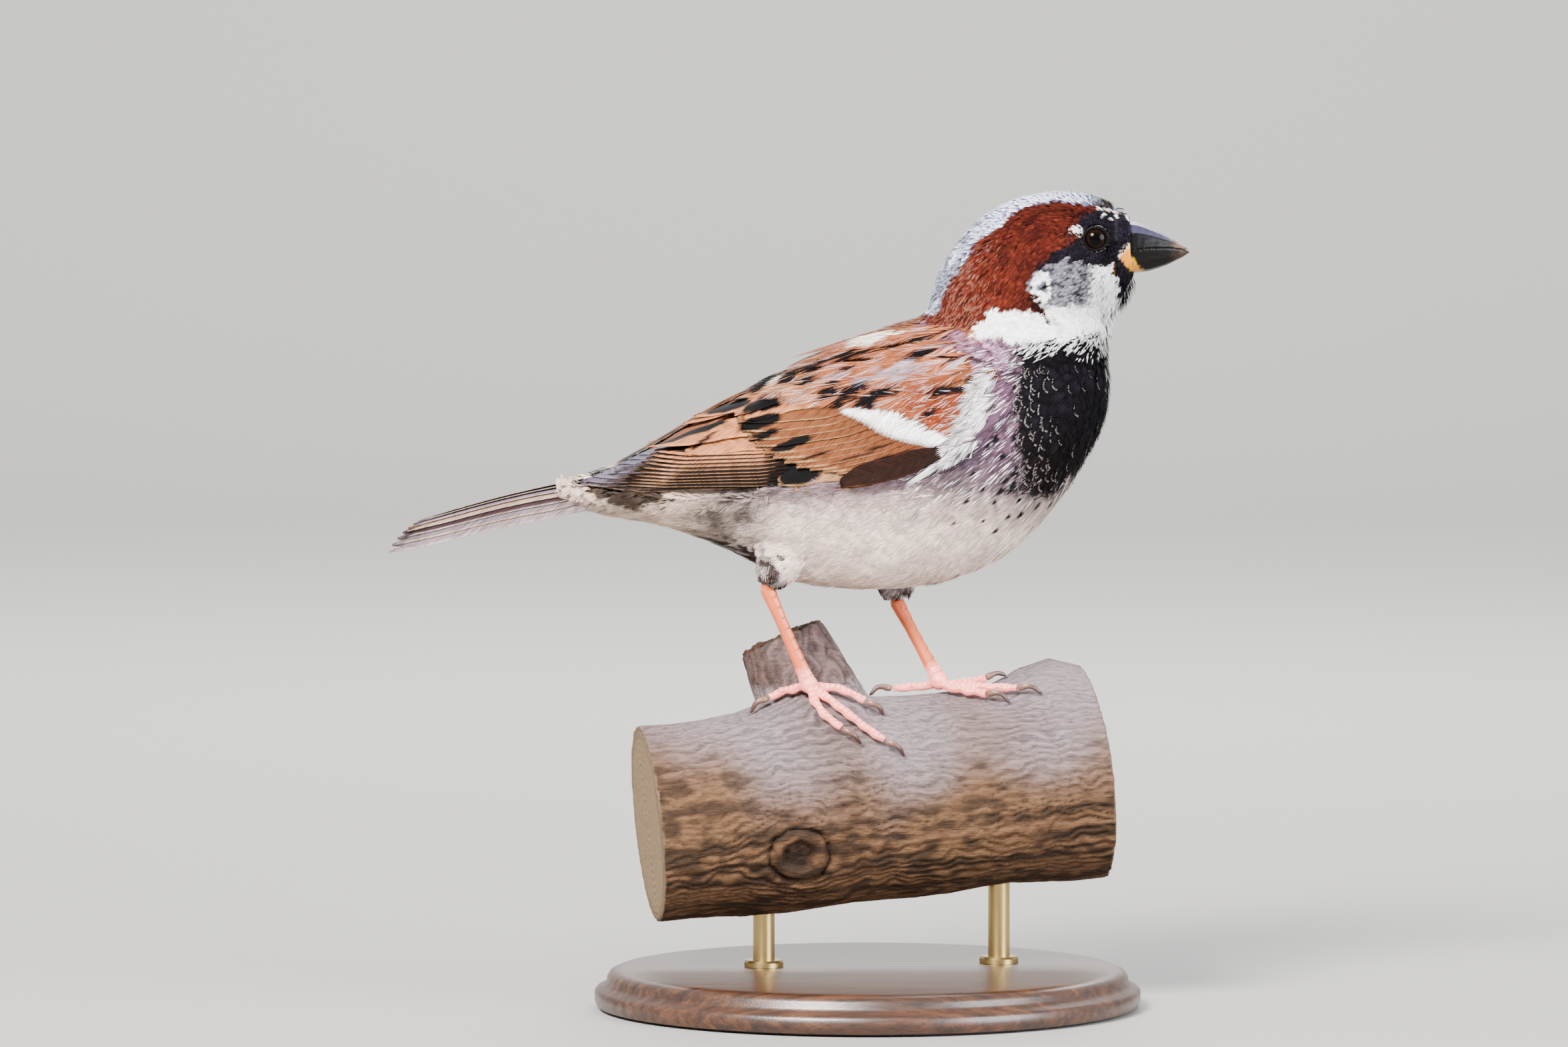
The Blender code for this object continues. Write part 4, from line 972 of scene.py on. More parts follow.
def firm_plumage():
    """Closed feather vanes: slanting barbs on each side of a shaft, from the 'barbs' map."""
    made, shader = new_material("plumage_vane", 0.6, Specular_IOR_Level=0.05)
    paint_in = add(made, "ShaderNodeAttribute", {"attribute_name": "coat"}).outputs["Color"]
    place = add(made, "ShaderNodeTexCoord").outputs["Object"]
    grid = add(made, "ShaderNodeUVMap", {"uv_map": "barbs"}).outputs[0]
    parts = add(made, "ShaderNodeSeparateXYZ", Vector=grid)
    out = add(made, "ShaderNodeMath", {"operation": "ABSOLUTE"}, i0=parts.outputs["Y"])
    slant = add(made, "ShaderNodeMath", {"operation": "MULTIPLY_ADD"}, i0=out.outputs[0], i1=-1.5,
                i2=parts.outputs["X"])
    waver = add(made, "ShaderNodeTexNoise", Vector=place, Scale=0.7 / MM, Detail=2.0)
    moved = add(made, "ShaderNodeMath", {"operation": "MULTIPLY_ADD"}, i0=waver.outputs["Fac"], i1=0.35,
                i2=slant.outputs[0])
    beat = add(made, "ShaderNodeMath", {"operation": "MULTIPLY"}, i0=moved.outputs[0],
               i1=2 * math.pi / BARB_GAP)
    wave = add(made, "ShaderNodeMath", {"operation": "SINE"}, i0=beat.outputs[0])
    level = add(made, "ShaderNodeMath", {"operation": "MULTIPLY_ADD"}, i0=wave.outputs[0], i1=0.5, i2=0.5)
    shades = [(0.1, srgb("#B4AEAB")), (0.6, srgb("#FFFFFF"))]
    shade = add(made, "ShaderNodeValToRGB", stops=shades, Fac=level.outputs[0])
    fine = add(made, "ShaderNodeMix", MULTIPLIED, i0=0.6, i6=paint_in, i7=shade.outputs[0])
    across = add(made, "ShaderNodeMath", {"operation": "MULTIPLY"}, i0=slant.outputs[0], i1=2.3)
    along = add(made, "ShaderNodeMath", {"operation": "MULTIPLY"}, i0=parts.outputs["Y"], i1=0.5)
    lie = add(made, "ShaderNodeCombineXYZ", X=across.outputs[0], Y=along.outputs[0])
    streak = add(made, "ShaderNodeTexNoise", Vector=lie.outputs[0], Scale=1.0, Detail=3.0, Roughness=0.6)
    tints = [(0.36, srgb("#8C7468")), (0.56, srgb("#FFFFFF"))]
    tint = add(made, "ShaderNodeValToRGB", stops=tints, Fac=streak.outputs["Fac"])
    colour = add(made, "ShaderNodeMix", MULTIPLIED, i0=0.8, i6=fine.outputs[2], i7=tint.outputs[0])
    ribs = add(made, "ShaderNodeBump", Height=level.outputs[0], Strength=0.35, Distance=0.08 * MM)
    connect(made, shader, Base_Color=colour.outputs[2], Normal=ribs.outputs[0])
    return made


soft_finish, firm_finish = soft_plumage(), firm_plumage()
# The wings' and the back's outline in side view, where larger feathers of their own cover the skin.
WING_AREA = [(18, 113.5), (14.5, 106), (12, 101), (2, 97.4), (-12, 96.4), (-30, 96.2), (-44, 96.8),
             (-53, 97.2), (-53, 99.5), (-44, 106), (-32, 112), (-22, 116), (-8, 120), (4, 122), (14, 119.5),
             (18, 117)]


def nearest_eye(points):
    """The middle of the eye on each place's own side of the head."""
    return np.where(points[:, 1:2] > 0, EYE, EYE * (1, -1, 1))


def chosen_spacing(points):
    """How far apart the feather roots stand: closest round the eye and on the face."""
    x, _, z = points.T
    from_bill = np.linalg.norm(points - BILL_ROOT, axis=1)
    from_eye = np.linalg.norm(points - nearest_eye(points), axis=1)
    space = 0.36 + 0.14 * smooth(from_bill, 12, 34)
    space = np.where(from_eye < 4.5, 0.30, space)
    space = np.where(z < NECK_LINE, 0.85, space)
    space = np.where((z < NECK_LINE) & (z > 88) & (x > 10), 1.05, space)
    space = np.where((z < NECK_LINE) & (z > BIB_TOP) & (x > 24), 0.6, space)
    return np.where(on_leg(points), 0.45, space)


def on_leg(points):
    """Whether a place is on one of the two feathered shins."""
    x, y, z = points.T
    return (z < 82.5) & ((np.abs(x + 18) < 5) & (y < 0) | (np.abs(x - 5.4) < 5) & (y > 0))


def scattered():
    """Evenly spread feather roots over the skin."""
    tri = skin_faces
    a, b, c, d = (skin_points[tri[:, k]] for k in range(4))
    area = np.linalg.norm(np.cross(c - a, d - b), axis=1) / 2
    middle = (a + b + c + d) / 4
    weight = area / chosen_spacing(middle) ** 2
    count = int(weight.sum() * 5)
    pick = rng.choice(len(tri), count, p=weight / weight.sum())
    s, t = rng.random((2, count, 1))
    spots = (a[pick] * (1 - s) + b[pick] * s) * (1 - t) + (d[pick] * (1 - s) + c[pick] * s) * t
    space = chosen_spacing(spots)
    kept, grid, cell = [], {}, 1.3
    keys = np.floor(spots / cell).astype(int)
    around_keys = [(i, j, k) for i in (-1, 0, 1) for j in (-1, 0, 1) for k in (-1, 0, 1)]
    listed = spots.tolist()
    for index in range(count):
        kx, ky, kz = keys[index]
        px, py, pz = listed[index]
        limit = space[index] ** 2
        near = False
        for i, j, k in around_keys:
            for qx, qy, qz in grid.get((kx + i, ky + j, kz + k), ()):
                if (px - qx) ** 2 + (py - qy) ** 2 + (pz - qz) ** 2 < limit:
                    near = True
                    break
            if near:
                break
        if not near:
            grid.setdefault((kx, ky, kz), []).append((px, py, pz))
            kept.append(index)
    return spots[kept], pick[kept]


roots, root_face = scattered()
normals = face_normals[root_face]
root_uv = face_uv[root_face]
x, y, z = roots.T
from_eye = (roots - nearest_eye(roots)) * (1, 0.3, 1)
eye_far = np.linalg.norm(from_eye, axis=1)

in_bill = (x > 47.0) & (np.abs(y) < 3.4) & (z > 134.9) & (z < 143.2) | inside(GAPE_SKIN, x, z)
in_bill |= (x > 46.9 + 0.5 * (z - 139.6)) & (z > 139.4) & (z < 143.0)
in_wing = inside(WING_AREA, x, z) & (np.abs(y) > 7 - 5.2 * smooth(-x, 4, 16))
keep = (eye_far > LID_OPENING + 0.35) & ~in_bill & ~in_wing & ~((x < -50) & (normals[:, 0] < -0.75))
roots, root_uv, from_eye, eye_far = roots[keep], root_uv[keep], from_eye[keep], eye_far[keep]
x, y, z = roots.T
ways = roots - FLOW_FROM
ways /= np.linalg.norm(ways, axis=1)[:, None]
ways += (-LIE_BACK, 0, 0)
# Behind the eye the coat sweeps over the head and then steeply down the side of the neck.
sweep = np.radians(18 + 42 * smooth(40 - x, 0, 16))
swept = np.stack([-np.cos(sweep), 0 * x, -np.sin(sweep)], 1)
share = (smooth(np.linalg.norm(roots - BILL_ROOT, axis=1), 6, 12) * smooth(z, 119, 124))[:, None]
ways = ways * (1 - share) + swept * share
leg = on_leg(roots)
ways[leg] = (-0.25, 0, -1)
round_eye = np.clip(1 - (eye_far - 2.0) / 3.2, 0, 1) * (np.abs(y) > 5)
ways += from_eye / eye_far[:, None] * (1.6 * round_eye)[:, None]
nasal = (x > 45.0) & (z > 140.4)
ways[nasal] = (0.8, 0, -0.35)
ways += 0.10 * rng.normal(size=ways.shape)
from_bill = np.linalg.norm(roots - BILL_ROOT, axis=1)
lengths = 1.15 + 1.2 * smooth(from_bill, 4, 22) + 1.0 * smooth(132 - z, 0, 8)
lengths = np.where(z < NECK_LINE, 5.0 + 1.6 * smooth(118 - z, 0, 26), lengths)
lengths = np.where((z < NECK_LINE) & (x < -18), 6.2 - 3.9 * smooth(-x, 38, 48), lengths)
lengths = np.where(x < -49, 1.7, lengths)
lengths = np.where((z < NECK_LINE) & (z > BIB_TOP) & (x > 24), 3.2, lengths)
lengths = np.where((x < -6) & (x > -24) & (z > 113), lengths * 0.6, lengths)
by_leg = (z < 88.5) & ((np.abs(x + 19) < 6.5) & (y < -4) | (np.abs(x - 5.4) < 6.5) & (y > 4))
lengths = np.where(by_leg | leg, 3.4, lengths)
lengths = np.where(round_eye > 0.05, 0.95, lengths)
lengths *= rng.uniform(0.82, 1.15, len(lengths))
jaw = (z < 137) & (x > 43.5) & (z > 124)
lengths = np.where(jaw, lengths * 1.5, lengths)
throat = smooth(x + 0.2 * (z - 128), 42.6, 44.4) * smooth(z, 121.5, 124) * smooth(135 - z, 0, 2)
bristly = (x > 43.2) & (z > 122.5) & (z < 134.5) & (np.abs(y) < 3.2) & (rng.random(len(x)) < 0.28)
lengths = np.where(bristly, rng.uniform(1.7, 2.5, len(x)), lengths)
ways[bristly] += (0.55, 0, 0)
ahead = roots + ways * (lengths * 0.65)[:, None]
seen = np.array([skin_tree.find_nearest(Vector(q))[0] for q in ahead])
tone, contrast, speckled = markings_and_shade(seen, 0.22)
heel_height = np.where(y < 0, 77.2, 73.6)
cuff_pale, cuff_brown = linear("#8F8683", "#261813")
cuff = mix(np.tile(cuff_pale, (len(x), 1)), cuff_brown, 0.9 * smooth(clouds(roots, 1.6, 5.0), -0.12, 0.12))
cuff = mix(cuff, cuff_brown * 0.8, 0.92 * smooth(heel_height + 2.0 - z, 0, 0.8))
cuffed = leg | by_leg & (z < heel_height + 7.8 + 0.8 * clouds(roots, 1.5, 2.0))
tone[cuffed], contrast[cuffed] = cuff[cuffed], 0.35
sx, sy, sz = seen.T
at_gape = inside([(44, 133.5), (44, 140.5), (52, 140.5), (52, 133.5)], sx, sz)
at_gape = at_gape & (tone.max(1) > 0.05) & (x > 44.6)
tone[at_gape] = np.where(rng.random((at_gape.sum(), 1)) < 0.35, GAPE_YELLOW * 0.28, BLACK)
own_shade = 0.35 * contrast[:, None] * rng.uniform(-1, 0.9, (len(tone), 1))
tone *= 1 + own_shade + 0.015 * rng.normal(size=tone.shape)
bib_like = (sz < 122.5) & (sz > 88) & (tone.max(1) < 0.045) & (sx > 18)
crown_like = (z > 126) & inside(CROWN, sx, sz)
bib_fringe = bib_like & (z > 118.2) & (sx > 24)  # hair-like feathers where the collar gives way to the bib
fur_like = (z >= 121.5) & ~crown_like | leg | bib_fringe
body_like = ~(bib_like | crown_like | fur_like)
bib_like &= ~fur_like
spines = lay_spines(roots, ways, lengths, skin_tree)
ridge_line = (x < -8) & (x > -46) & (np.abs(y) < 3) & (z > 96)  # where the folded wings nearly meet


def part(spine_set, mask):
    """The spines of the feathers that a mask picks."""
    return tuple(item[mask] for item in spine_set)


def sloping(lift, slope):
    """A feather's height over the wing: full at its tip, and lower by the slope at its root."""
    return lambda u: lift - slope * (1 - u)


def rising(root_lift, rise, power=0.75):
    """A feather's height over the skin: lowest at its root, and higher by the rise at its tip."""
    return lambda u: root_lift + rise * np.clip(u, 0, 1) ** power


coat_head = Coat()
fur_shapes = [tuft(5, 0.2, seed) for seed in (3, 4, 5)]
for number, shape in enumerate(fur_shapes):
    mask = fur_like & (np.arange(len(roots)) % 3 == number)
    u, v, w = shape[0].T
    total, barbs = mask.sum(), len(u) // 4
    near_face = 1 - smooth(from_bill[mask], 4, 20)
    widths = lengths[mask] * rng.uniform(0.18, 0.28, total)
    high = FACE_DEPTH + (COAT_DEPTH - FACE_DEPTH) * (1 - near_face)
    pale = smooth(tone[mask].min(1), 0.25, 0.6)[:, None, None]
    hair = 1 + contrast[mask][:, None, None] * rng.uniform(-1.3, 1.25, (total, barbs, 1))
    # Each barb is painted darker at its root than at its tip, pale tufts less so: painted shade among the
    # tufts.
    along = (0.55 + 0.42 * pale) + (0.62 - 0.58 * pale) * u[None, :, None]
    colours = tone[mask][:, None, :] * along * hair.repeat(4, axis=1)
    pinkish = (rng.random((total, barbs)) < 0.42 * smooth(25 - sx[mask], 0, 9)[:, None]).repeat(4, axis=1)
    tipped = pinkish * smooth(u, 0.45, 0.9)[None] * (sz[mask] > 121)[:, None] * (sx[mask] < 25)[:, None]
    colours = mix(colours, NAPE_PINK, 0.7 * tipped * (1 - pale[..., 0]))
    chance = 0.55 * smooth(sz[mask], 117.2, 121.6) * (sz[mask] < 123.5)
    chance = chance * (sx[mask] > 26) * (tone[mask].max(1) < 0.05)
    whitened = (rng.random((total, barbs)) < chance[:, None]).repeat(4, axis=1) * smooth(u, 0.25, 0.55)[None]
    colours = mix(colours, COLLAR_WHITE * 0.8, 0.85 * whitened)
    tall = high[:, None] * rng.uniform(0.7, 1.0, (total, 1)) * np.where(leg[mask], 0.8, 1.0)[:, None]
    tall += (0.9 * bristly[mask] + 0.8 * throat[mask])[:, None]
    coat_head.put(shape, part(spines, mask), widths, rising(0.05, tall, 0.8), colours, root_uv[mask],
                  lengths[mask])
crown_shape = vane(7, 6, 0.2, seed=8)
u, v, w = crown_shape[0].T
mask = crown_like
front = smooth(sx[mask] + 1.6 * clouds(seen[mask], 1.6, 4.0), 39.0, 43.0)[:, None, None]
fringe = smooth(u + 0.10 * v**2, 0.60, 0.86)[None, :] * rng.uniform(0.5, 1.0, (mask.sum(), 1))
nape_clouds = smooth(clouds(seen[mask], 2.5, 3.0), -0.6, 0.2)
dim_nape = (1 - 0.68 * smooth(26 - sx[mask], 0, 9) * nape_clouds)[:, None, None]
# Each crown feather is painted darker towards its root: painted shade under the feathers that overlap it.
centre = tone[mask][:, None, :] * (0.42 + 0.45 * u)[None, :, None] * (1 - front) + BLACK * front
front_tips = linear("#5E4A3A")[0] * front * rng.uniform(-0.8, 1, (mask.sum(), 1, 1)).clip(0)
tips = CROWN_TIP * (1 - front) + front_tips
colours = (centre * (1 - fringe[..., None]) + tips * fringe[..., None]) * dim_nape
widths = lengths[mask] * rng.uniform(0.20, 0.28, mask.sum())
coat_head.put(crown_shape, part(spines, mask), widths, rising(0.05, 0.75), colours, root_uv[mask],
              lengths[mask])
coat_head.sew("coat_head", soft_finish, "plumage_head")

coat_body = Coat()
BIB_BARBS, BIB_RIM = 17, 13
bib_brown, rim_grey = linear("#1B120E", "#726B69")
bib_shape = comb(BIB_BARBS, 0.075, BIB_RIM, 9)
u, v, w = bib_shape[0].T
mask = bib_like
total = mask.sum()
upper = smooth(sz[mask], 108, 118)[:, None]
outer_edge = 1 - smooth(sx[mask] - 0.1 * (112 - sz[mask]), 29.5, 34.0)[:, None]
# Each barb is black with a faint sheen. The short ones at the rim are pale where the feathers are fresh.
sheen = mix(BIB_SHEEN * 1.4, bib_brown, smooth(108 - sz[mask], 0, 8))[:, None]
long_barbs = BLACK + 0.6 * (sheen * rng.uniform(0.0, 1.6, (total, BIB_BARBS, 1)))
fresh = rng.random((total, 1)) < 0.10 + 0.35 * upper + 0.70 * outer_edge
edged = fresh & (rng.random((total, BIB_RIM)) < 0.75)
edged &= v[4 * BIB_BARBS :: 4][None] * np.where(sy[mask] > 0, -1, 1)[:, None] < 0.45
rim_barbs = mix(np.broadcast_to(BLACK, (total, BIB_RIM, 3)), rim_grey,
                edged * rng.uniform(0.2, 0.95, (total, BIB_RIM)))
colours = np.concatenate([long_barbs, rim_barbs], 1).repeat(4, axis=1)
widths = lengths[mask] * rng.uniform(0.27, 0.35, total)
coat_body.put(bib_shape, part(spines, mask), widths, rising(0.05, 1.05), colours, root_uv[mask],
              lengths[mask])
# Black feather centres scattered below and beside the bib: (x, z), length and half width.
SPOTS = [((25.6, 96.4), 3.4, 0.75), ((23.4, 95.4), 2.8, 0.6), ((24.2, 97.3), 2.6, 0.5),
         ((22.4, 93.6), 1.6, 0.35), ((26.9, 91.2), 2.6, 0.6), ((24.8, 91.0), 2.2, 0.5),
         ((22.6, 88.4), 2.4, 0.45), ((20.5, 90.3), 1.8, 0.35), ((15.3, 89.9), 2.0, 0.35),
         ((17.5, 93.8), 2.6, 0.4), ((23.9, 101.7), 2.4, 0.75), ((26.1, 99.8), 2.0, 0.4),
         ((22.4, 104.7), 2.6, 0.7), ((26.1, 109.5), 2.4, 0.6), ((29.9, 92.7), 2.8, 0.55),
         ((26.7, 93.9), 2.0, 0.45), ((32.1, 92.6), 2.4, 0.4), ((21.0, 103.6), 1.8, 0.35),
         ((25.9, 104.8), 2.0, 0.4), ((25.8, 113.6), 2.6, 0.5), ((18.6, 98.6), 2.0, 0.3),
         ((20.4, 95.8), 1.8, 0.3), ((34.6, 94.6), 2.2, 0.35), ((29.2, 95.6), 3.0, 0.9),
         ((32.0, 95.0), 2.8, 0.8)]
spot_roots, spot_ways, spot_sizes = [], [], []
for side in (-1, 1):
    for (px, pz), long, half in SPOTS:
        aim = Vector((px + (5.0 if side > 0 else 0), side * 60, pz))
        hit = skin_tree.ray_cast(aim, Vector((0, -side, 0)))[0]
        hit = hit or skin_tree.find_nearest(aim * Vector((1, 0.1, 1)))[0]
        lie = (hit - Vector(FLOW_FROM)).normalized() + Vector((-LIE_BACK, 0, 0))
        spot_roots.append(hit - lie.normalized() * long * 0.6)
        spot_ways.append(lie)
        spot_sizes.append((long * 1.2, half))
spot_roots, spot_ways, spot_sizes = map(np.array, (spot_roots, spot_ways, spot_sizes))
leaf = tuft(9, 0.13, 31, taper=0.55)
leaf_shade = rng.uniform(0.6, 5.0, (len(spot_roots), len(leaf[0]) // 4, 1)).repeat(4, axis=1)
leaf_tone = np.broadcast_to(BLACK, (len(spot_roots), len(leaf[0]), 3)) * leaf_shade
leaf_uv = np.array([face_uv[skin_tree.find_nearest(Vector(q))[2]] for q in spot_roots])
leaf_spines = lay_spines(spot_roots, spot_ways, spot_sizes[:, 0], skin_tree)
coat_body.put(leaf, leaf_spines, spot_sizes[:, 1], rising(0.5, 0.8, 0.5), leaf_tone, leaf_uv,
              spot_sizes[:, 0])
# Streaks down the back, and along the bib's edge.
mantle = body_like & inside(SCAPULAR, sx, sz) & (sx > -30)
spotted = mantle & (rng.random(len(roots)) < 0.3)
spotted |= body_like & speckled & (rng.random(len(roots)) < 0.25)
combed = body_like & (sx > 8) & (sz > 86 + 0.4 * (30 - sx)) & (sz < NECK_LINE)
for number, shape in enumerate([plume(25, 0.062, 11), plume(25, 0.062, 12), comb(17, 0.055, 0, 13),
                                comb(15, 0.06, 0, 14)]):
    mask = body_like & (np.arange(len(roots)) % 2 == number % 2) & (combed if number > 1 else ~combed)
    u, v, w = shape[0].T
    total = mask.sum()
    barbs = len(u) // 4
    loose = contrast[mask][:, None, None]
    hair = 1 + rng.uniform(-1.1, 1.0, (total, barbs, 1)) * loose
    # Barbs are painted darker at root and sides than at the tip: painted shade between and under the
    # feathers.
    on_barb = np.tile([0.5, 0.0, 0.5, 1.0], barbs)[None, :, None]
    deep = 1.5 * loose if number > 1 else 1.1 * loose
    along = (0.9 + 0.14 * u)[None, :, None]
    colours = tone[mask][:, None, :] * ((1 - deep) + 1.5 * loose * on_barb) * along * hair.repeat(4, axis=1)
    bright = (rng.random((total, barbs, 1)) < 0.10 * (loose > 0.4)).repeat(4, axis=1)[..., 0]
    colours = mix(colours, COLLAR_WHITE, 0.75 * bright * (on_barb[..., 0] > 0.4))
    spot = spotted[mask][:, None] * (np.abs(v) < 0.42)[None] * ((u > 0.3) & (u < 0.97))[None]
    colours = mix(colours, BLACK, 0.95 * spot)
    widths = lengths[mask] * rng.uniform(0.24, 0.32, total) * (1.15 if number > 1 else 1.0)
    high = COAT_DEPTH * rng.uniform(0.85, 1.05, (total, 1)) * np.where(ridge_line[mask], 0.45, 1.0)[:, None]
    coat_body.put(shape, part(spines, mask), widths, rising(0.05, high), colours, root_uv[mask],
                  lengths[mask])
coat_body.sew("coat_body", soft_finish, "plumage_under")

# ================================================================ wings
# Folded wings of overlapping vanes, each a thin closed feather: flight feathers below, then the coverts in
# rows and the shoulder feathers above. Laid on the bird's right side in side view, and mirrored for the left.


def closed_vane(along, pointed, seed, ragged=0.03, thick=0.05):
    """A flight or covert feather: a closed, slightly arched blade with finely notched edges."""
    luck = np.random.default_rng(seed)
    columns = (0.0, 0.05, 0.34, 0.56, 0.66, 0.84, 1.0)
    bm = bmesh.new()
    bmesh.ops.create_grid(bm, x_segments=along, y_segments=12, size=1.0)
    for v in bm.verts:
        u, rank = (v.co.x + 1) / 2, round(abs(v.co.y) * 6)
        side = math.copysign(columns[rank], v.co.y)
        end = max(0.0, (u - 0.74) / 0.26)
        wide = (0.55 + 0.45 * min(1.0, u / 0.3)) * (1 - end**2.4 * (0.30 + 0.45 * pointed))
        notch = 1 - ragged * luck.random() * (rank == 6)
        rounding = (0.13 - 0.05 * pointed) * end * side**2
        v.co = (u - rounding - 0.3 * ragged * luck.random() * (u > 0.99), side * wide * notch,
                0.04 * (1 - side**2) + 0.13 * side)
    bmesh.ops.recalc_face_normals(bm, faces=bm.faces)
    if bm.faces[0].normal.z < 0:
        bmesh.ops.reverse_faces(bm, faces=bm.faces)
    bmesh.ops.solidify(bm, geom=bm.faces[:], thickness=thick)
    bmesh.ops.recalc_face_normals(bm, faces=bm.faces)
    return as_template(bm)


def squared(places, ups):
    """Outward and sideways directions that stand square to a feather's shaft and to each other."""
    runs = np.gradient(places, axis=0)
    sides = np.cross(ups, runs)
    sides /= np.linalg.norm(sides, axis=1)[:, None]
    ups = np.cross(runs, sides)
    ups /= np.linalg.norm(ups, axis=1)[:, None]
    return ups, sides


def on_side(line, count):
    """A route in side view laid on the right wing's surface: places, outward and sideways directions."""
    line = np.array(line, float)
    share = np.linspace(0, 1, count)
    stretch_at = np.linspace(0, 1, len(line))
    xs, zs = np.interp(share, stretch_at, line[:, 0]), np.interp(share, stretch_at, line[:, 1])
    places, ups, last = [], [], None
    for px, pz in zip(xs, zs):
        hit, up, *_ = shell_tree.ray_cast(Vector((px, -60, pz)), Vector((0, 1, 0)))
        if hit is None or last is not None and abs(hit.y - last.y) > 0.9 * abs(xs[1] - xs[0]) + 0.8:
            hit, up, *_ = shell_tree.find_nearest(Vector((px, last.y if last else -4, pz)))
            hit = Vector((px, hit.y, pz))
        last = hit
        places.append(hit)
        ups.append(up)
    places, ups = np.array(places), np.array(ups)
    for _ in range(2):
        places[1:-1, 1] = (places[:-2, 1] + 2 * places[1:-1, 1] + places[2:, 1]) / 4
        ups[1:-1] = (ups[:-2] + ups[1:-1] + ups[2:]) / 3
    ups /= np.linalg.norm(ups, axis=1)[:, None]
    return places, *squared(places, ups)


def vane_colours(u, v, web, edge, centre=None, oval=(0.6, 0.0, 0.4, 0.5), outer=2.0, inner=2.0,
                 tip=2.0, shaft=0.25):
    """A vane's pattern: web, a dark oval centre, pale edges on each side and at the tip, a darker shaft."""
    centre = web if centre is None else centre
    off = ((u - oval[0]) / oval[2]) ** 2 + ((v - oval[1]) / oval[3]) ** 2
    colour = mix(web, centre, 1 - smooth(off, 0.8, 1.25))
    narrowing = 0.35 * smooth(u, 0.70, 0.95)
    rim = np.maximum(smooth(v + narrowing, outer, outer + 0.1), smooth(-v, inner, inner + 0.1))
    rim = np.maximum(rim, smooth(u - 0.05 * v**2, tip, tip + 0.05))
    colour = mix(colour, edge, rim)
    return colour * (1 - shaft * (np.abs(v) < 0.04) * (rim < 0.5))[:, None]


def bake_spot(place):
    """The place of a feather's root on the skin's own unwrap."""
    return face_uv[skin_tree.find_nearest(Vector(place))[2]]


def between(line, count):
    """Evenly spaced points along a line through the given ones."""
    ends = np.array(line, float)
    share = np.linspace(0, len(ends) - 1, count)
    return np.stack([np.interp(share, np.arange(len(ends)), ends[:, k]) for k in (0, 1)], 1)


def fan(roots_line, tips_line, count):
    """Routes from points along one line to points along another."""
    return list(zip(between(roots_line, count), between(tips_line, count)))


def strewn(line, count, jitter):
    """Feather roots spaced along a line, each a little out of place."""
    return between(line, count) + jitter * rng.normal(size=(count, 2))


coat_wing = {False: Coat(), True: Coat()}
soft_wing = {False: Coat(), True: Coat()}
(TERTIAL_EDGE, SECONDARY_DARK, SECONDARY_EDGE, PRIMARY_DARK, PRIMARY_TIP, COVERT, COVERT_DARK, COVERT_EDGE,
 LESSER, LESSER_DARK, ALULA_DARK, WHITE_BAR, LILAC, CREAM_TONE, SHOULDER_PINK) = linear(
    "#BF7F56", "#140D0A", "#A57F5E", "#261D19", "#625F6E", "#6C4126", "#080607", "#A9845F",
    "#6E3018", "#411709", "#20100A", "#FFFEFC", "#8F8794", "#EDE3D0", "#B5A0A2")
# Dark centres of the shoulder feathers, tertials and coverts: from, to (x, z) and half width, in side view.
DARK_MARKS = [((-2.4, 119.8), (12.9, 123.4), 0.5), ((-6.9, 118.5), (-1.0, 120.7), 0.65),
              ((-15.6, 115.2), (-11.6, 117.3), 0.6), ((-12.2, 117.0), (-6.8, 119.0), 0.5),
              ((6.7, 119.1), (11.0, 120.7), 0.8), ((13.4, 119.0), (15.3, 119.8), 0.5),
              ((-4.4, 117.0), (-1.0, 118.8), 0.4), ((-11.2, 116.7), (-7.3, 118.5), 0.55),
              ((-13.3, 114.2), (-8.5, 116.0), 0.8), ((-15.5, 114.9), (-13.3, 115.9), 0.6),
              ((-22.3, 113.2), (-17.4, 115.0), 0.8), ((10.3, 112.4), (21.1, 116.2), 1.15),
              ((-1.5, 110.9), (6.2, 114.6), 1.15), ((-6.8, 110.5), (1.4, 116.2), 1.15),
              ((-9.0, 112.1), (-4.4, 114.6), 0.95), ((-23.0, 109.3), (-14.3, 112.6), 1.25),
              ((-30.5, 109.1), (-21.1, 111.6), 1.05), ((-39.6, 103.3), (-25.2, 107.9), 0.8),
              ((-31.9, 102.6), (-27.6, 105.9), 0.42), ((-23.8, 106.3), (-15.5, 109.0), 1.15),
              ((-21.8, 104.4), (-16.0, 106.5), 0.75), ((-17.9, 102.5), (-10.0, 105.2), 0.9),
              ((-12.4, 100.9), (-6.0, 103.0), 0.25), ((-6.8, 118.6), (-1.2, 121.0), 0.5),
              ((8.0, 125.2), (11.0, 126.4), 0.4), ((-19.0, 115.0), (-15.5, 116.2), 0.45),
              ((9.5, 108.6), (12.8, 110.4), 0.4), ((4.0, 104.0), (-1.5, 102.4), 0.2),
              ((6.0, 102.4), (0.0, 100.6), 0.25), ((-6.5, 100.6), (1.5, 102.6), 0.22)]
LILAC_MARKS = [((12.9, 113.6), (18.2, 115.5), 0.32), ((1.8, 116.7), (9.6, 119.1), 0.5),
               ((5.2, 116.9), (11.5, 118.2), 0.35), ((-2.5, 114.5), (2.5, 117.0), 0.3),
               ((2.0, 115.6), (7.6, 117.6), 0.45), ((4.5, 115.4), (9.3, 118.3), 0.4),
               ((-7.5, 115.2), (-3.0, 117.0), 0.4), ((12.8, 117.0), (17.5, 118.8), 0.4),
               ((-14.0, 112.2), (-9.6, 113.4), 0.35), ((9.0, 121.0), (13.5, 122.4), 0.35)]
CREAM_MARKS = [((-3.4, 121.3), (8.8, 125.3), 0.8), ((-17.4, 114.9), (-14.8, 116.2), 0.5),
               ((-9.9, 111.6), (-9.2, 112.1), 0.25), ((-21.0, 113.4), (-18.0, 114.6), 0.3)]


